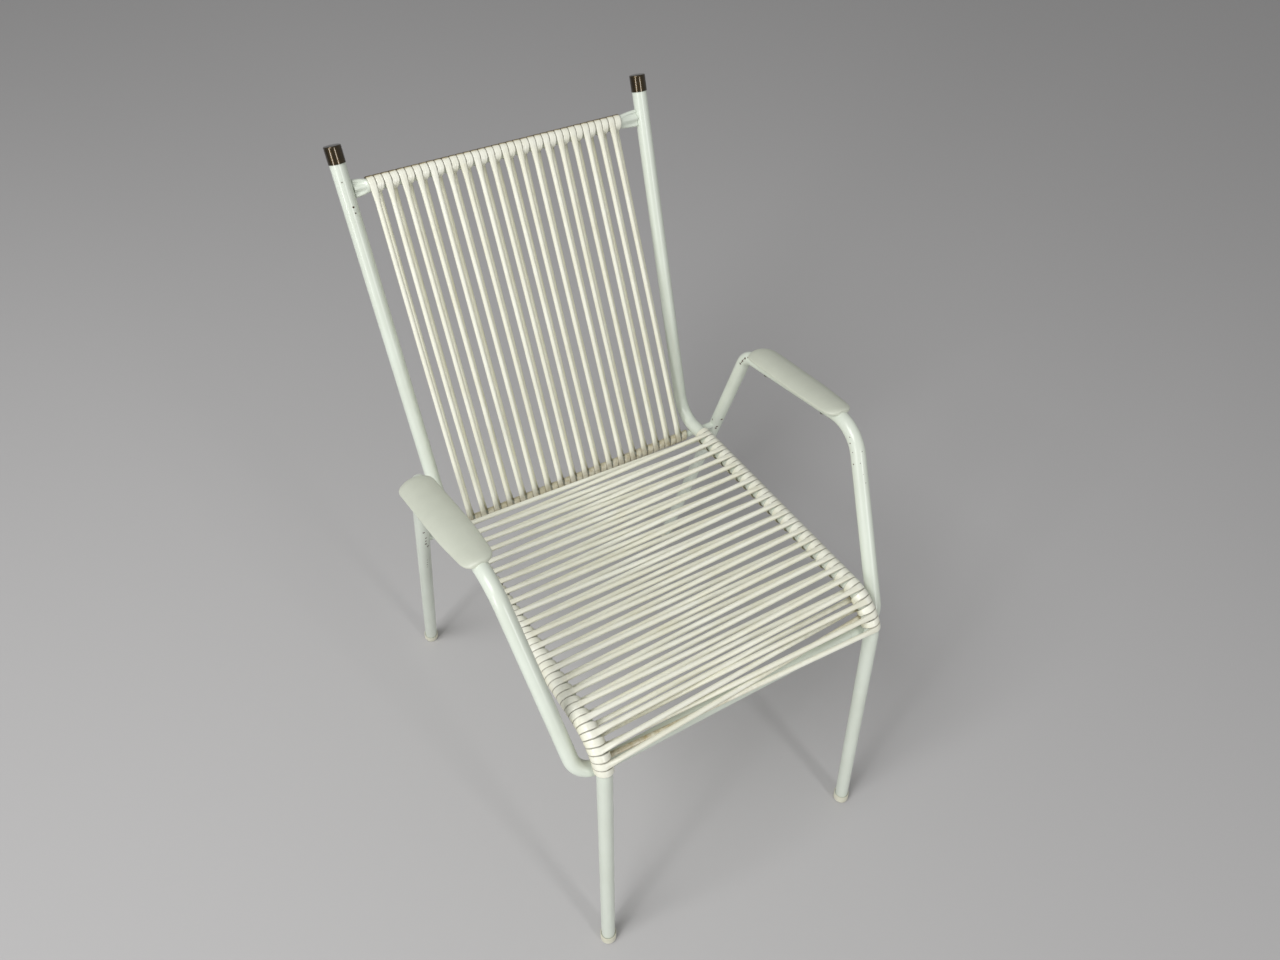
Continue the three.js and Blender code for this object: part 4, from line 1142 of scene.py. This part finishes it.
class WindSeat(bpy.types.Operator):
    """Wind the seat's cord between the side tubes"""

    bl_idname = "armchair.wind_seat"
    bl_label = "Seat cord"

    def execute(self, context):
        size = context.scene.armchair_tubes
        cord = context.scene.armchair_cords
        tubes = {name: side_tube(size, side) for name, side in SIDES.items()}
        rear_bend = tubes["right"].route.runs[REAR_BEND_RUN]
        rest = tubes["right"].route.nearest(middle("rear_cross_rail"))
        begin = max(rear_bend.begin + rear_bend.length, rest) + cord.seat_setback
        front_bend = tubes["right"].route.runs[FRONT_BEND_RUN]
        flat = front_bend.begin - begin
        radius = size.tube_diameter / 2
        shorter = 1 / (1 + front_bend.curvature * (radius + cord.flat_thickness / 2))

        def guide(name, shift, pitch):
            def at(place):
                distance = shift + place * pitch
                along = min(distance, flat) + max(distance - flat, 0) * shorter
                spot = tubes[name].route.at(begin + along)
                face = spot.heading.cross(ACROSS).normalized()
                outer = face.cross(spot.heading) * SIDES[name]
                return Guide(spot.point, radius, face, outer, spot.curvature, pitch)
            return at

        def lays(share):
            slip = blend(cord.seat_slip_first, cord.seat_slip_last, share)
            return [slip - HALF, 0, slip, HALF], [slip, HALF, slip + HALF, 1]

        left = guide("left", 0, cord.seat_left_pitch)
        right = guide("right", cord.seat_right_shift, cord.seat_right_pitch)
        winding = Winding(left, right, lays, seat_darkening, SEAT_STAIN, cord.seat_loops, True)
        material = cord_material(context.scene.armchair_finish)
        cord_piece("seat_cord_wound", wind_cord(cord, winding, "seat"), material, "seat_cord")
        return {"FINISHED"}


class WindBack(bpy.types.Operator):
    """Wind the back's cord between the rear rail and the top rail"""

    bl_idname = "armchair.wind_back"
    bl_label = "Back cord"

    def execute(self, context):
        size = context.scene.armchair_tubes
        cord = context.scene.armchair_cords
        low = middle("rear_cross_rail")
        high = middle("top_back_rail")
        rise = (high - low).normalized()
        face = ACROSS.cross(rise)

        def guide(centre, diameter, outer, begin, pitch):
            def at(place):
                point = Vector((begin + place * pitch, centre.y, centre.z))
                return Guide(point, diameter / 2, face, outer, 0.0, pitch)
            return at

        def lays(share):
            lag = blend(cord.back_lag_first, cord.back_lag_last, share)
            low_lag = lag * cord.back_lag_low
            return [0, lag - HALF, HALF, lag], [low_lag, HALF, low_lag + HALF, 1]

        rod = guide(low, size.rod_diameter, -rise, cord.back_low_begin, cord.back_low_pitch)
        rail = guide(high, size.top_rail_diameter, rise, cord.back_high_begin, cord.back_high_pitch)
        winding = Winding(rod, rail, lays, back_darkening, BACK_STAIN, cord.back_loops, False)
        material = bpy.data.materials["extruded_pvc_cord"]
        cord_piece("back_cord_wound", wind_cord(cord, winding, "back"), material, "back_cord")
        return {"FINISHED"}


class SetStage(bpy.types.Operator):
    """Lay the floor, light the chair and set the camera"""

    bl_idname = "armchair.set_stage"
    bl_label = "Stage"

    def execute(self, context):
        scene = context.scene
        stage = scene.armchair_stage
        scene.view_settings.view_transform = "Standard"
        self.lay_floor(scene, stage)
        self.light(scene, stage)
        self.set_camera(scene, stage)
        return {"FINISHED"}

    def lay_floor(self, scene, stage):
        """A plain pale floor under the feet."""
        bm = bmesh.new()
        bmesh.ops.create_grid(bm, x_segments=1, y_segments=1, size=stage.floor_size / 2)
        mesh = bpy.data.meshes.new("floor")
        bm.to_mesh(mesh)
        bm.free()
        material, _, shader, _ = start_material("pale_floor")
        pale = opaque(scene.armchair_finish.floor)
        set_sockets(shader, {"Base Color": pale, "Roughness": FLOOR_ROUGHNESS})
        mesh.materials.append(material)
        floor = bpy.data.objects.new("floor", mesh)
        scene.collection.objects.link(floor)
        floor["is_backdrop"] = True

    def light(self, scene, stage):
        """Even light all round, one soft light from the left and two strips that show on the metal."""
        world = bpy.data.worlds.new("studio")
        world.use_nodes = True
        background = world.node_tree.nodes["Background"]
        set_sockets(background, {"Color": opaque(WHITE), "Strength": stage.fill})
        scene.world = world
        strip = (stage.strip_power, stage.strip_width, stage.strip_height)
        lamps = {
            "key": (stage.key_power, stage.key_size, stage.key_size, stage.key_azimuth, stage.key_elevation),
            "left_strip": (*strip, stage.left_strip_azimuth, stage.left_strip_elevation),
            "front_strip": (*strip, stage.front_strip_azimuth, stage.front_strip_elevation),
        }
        for name, (power, width, height, azimuth, elevation) in lamps.items():
            self.add_lamp(scene, stage, name, power, width, height, direction(azimuth, elevation))

    def add_lamp(self, scene, stage, name, power, width, height, towards):
        """One flat lamp that faces the chair."""
        lamp = bpy.data.lights.new(name, "AREA")
        lamp.energy = power
        lamp.shape = "RECTANGLE"
        lamp.size = width
        lamp.size_y = height
        target = (CAD_BOX[0] + CAD_BOX[1]) / 2
        holder = bpy.data.objects.new(name, lamp)
        holder.matrix_world = facing(target + towards * stage.lamp_distance, towards)
        scene.collection.objects.link(holder)

    def set_camera(self, scene, stage):
        """The camera stands where the photograph was taken."""
        data = bpy.data.cameras.new("camera")
        data.sensor_fit = "HORIZONTAL"
        data.sensor_width = stage.sensor
        data.lens = stage.lens
        back = direction(stage.camera_azimuth, stage.camera_elevation)
        right = Vector((math.cos(stage.camera_azimuth), math.sin(stage.camera_azimuth), 0))
        level = Matrix((right, back.cross(right), back)).transposed()
        rolled = Matrix.Rotation(stage.camera_roll, 3, back) @ level
        camera = bpy.data.objects.new("camera", data)
        camera.matrix_world = Matrix.Translation(stage.camera_place) @ rolled.to_4x4()
        scene.collection.objects.link(camera)
        scene.camera = camera


def direction(azimuth, elevation):
    """The way from the chair to something round it; at azimuth 0 it stands before the chair."""
    level = math.cos(elevation)
    return Vector((math.sin(azimuth) * level, -math.cos(azimuth) * level, math.sin(elevation)))


class ArmchairPanel(bpy.types.Panel):
    """The armchair's pieces in the sidebar"""

    bl_idname = "VIEW3D_PT_armchair"
    bl_label = "Cord-strung Armchair"
    bl_space_type = "VIEW_3D"
    bl_region_type = "UI"
    bl_category = "Armchair"

    def draw(self, context):
        for operator in OPERATORS:
            self.layout.operator(operator.bl_idname)
        for name in SETTINGS:
            group = getattr(context.scene, name)
            for key in type(group).__annotations__:
                self.layout.prop(group, key)


SETTINGS = {
    "armchair_tubes": TubeSettings,
    "armchair_fittings": FittingSettings,
    "armchair_cords": CordSettings,
    "armchair_finish": FinishSettings,
    "armchair_stage": StageSettings,
}
OPERATORS = [
    PaintTubes, PaintRails, CapPosts, FitFeet, MouldPads, PlateScrews, WindSeat, WindBack, SetStage,
]
CLASSES = [*SETTINGS.values(), *OPERATORS, ArmchairPanel]


def register():
    for each in CLASSES:
        bpy.utils.register_class(each)
    for name, group in SETTINGS.items():
        setattr(bpy.types.Scene, name, PointerProperty(type=group))


def unregister():
    for name in SETTINGS:
        delattr(bpy.types.Scene, name)
    for each in reversed(CLASSES):
        bpy.utils.unregister_class(each)


def main():
    register()
    bpy.ops.armchair.bend_tubes()
    bpy.ops.armchair.cut_rails()
    bpy.ops.armchair.cap_posts()
    bpy.ops.armchair.fit_feet()
    bpy.ops.armchair.mould_pads()
    bpy.ops.armchair.plate_screws()
    bpy.ops.armchair.wind_seat()
    bpy.ops.armchair.wind_back()
    bpy.ops.armchair.set_stage()
    boxes = {"cad": CAD_BOX, "visual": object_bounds()}
    {name: [list(corner) for corner in box] for name, box in boxes.items()}


if __name__ == "__main__":
    main()
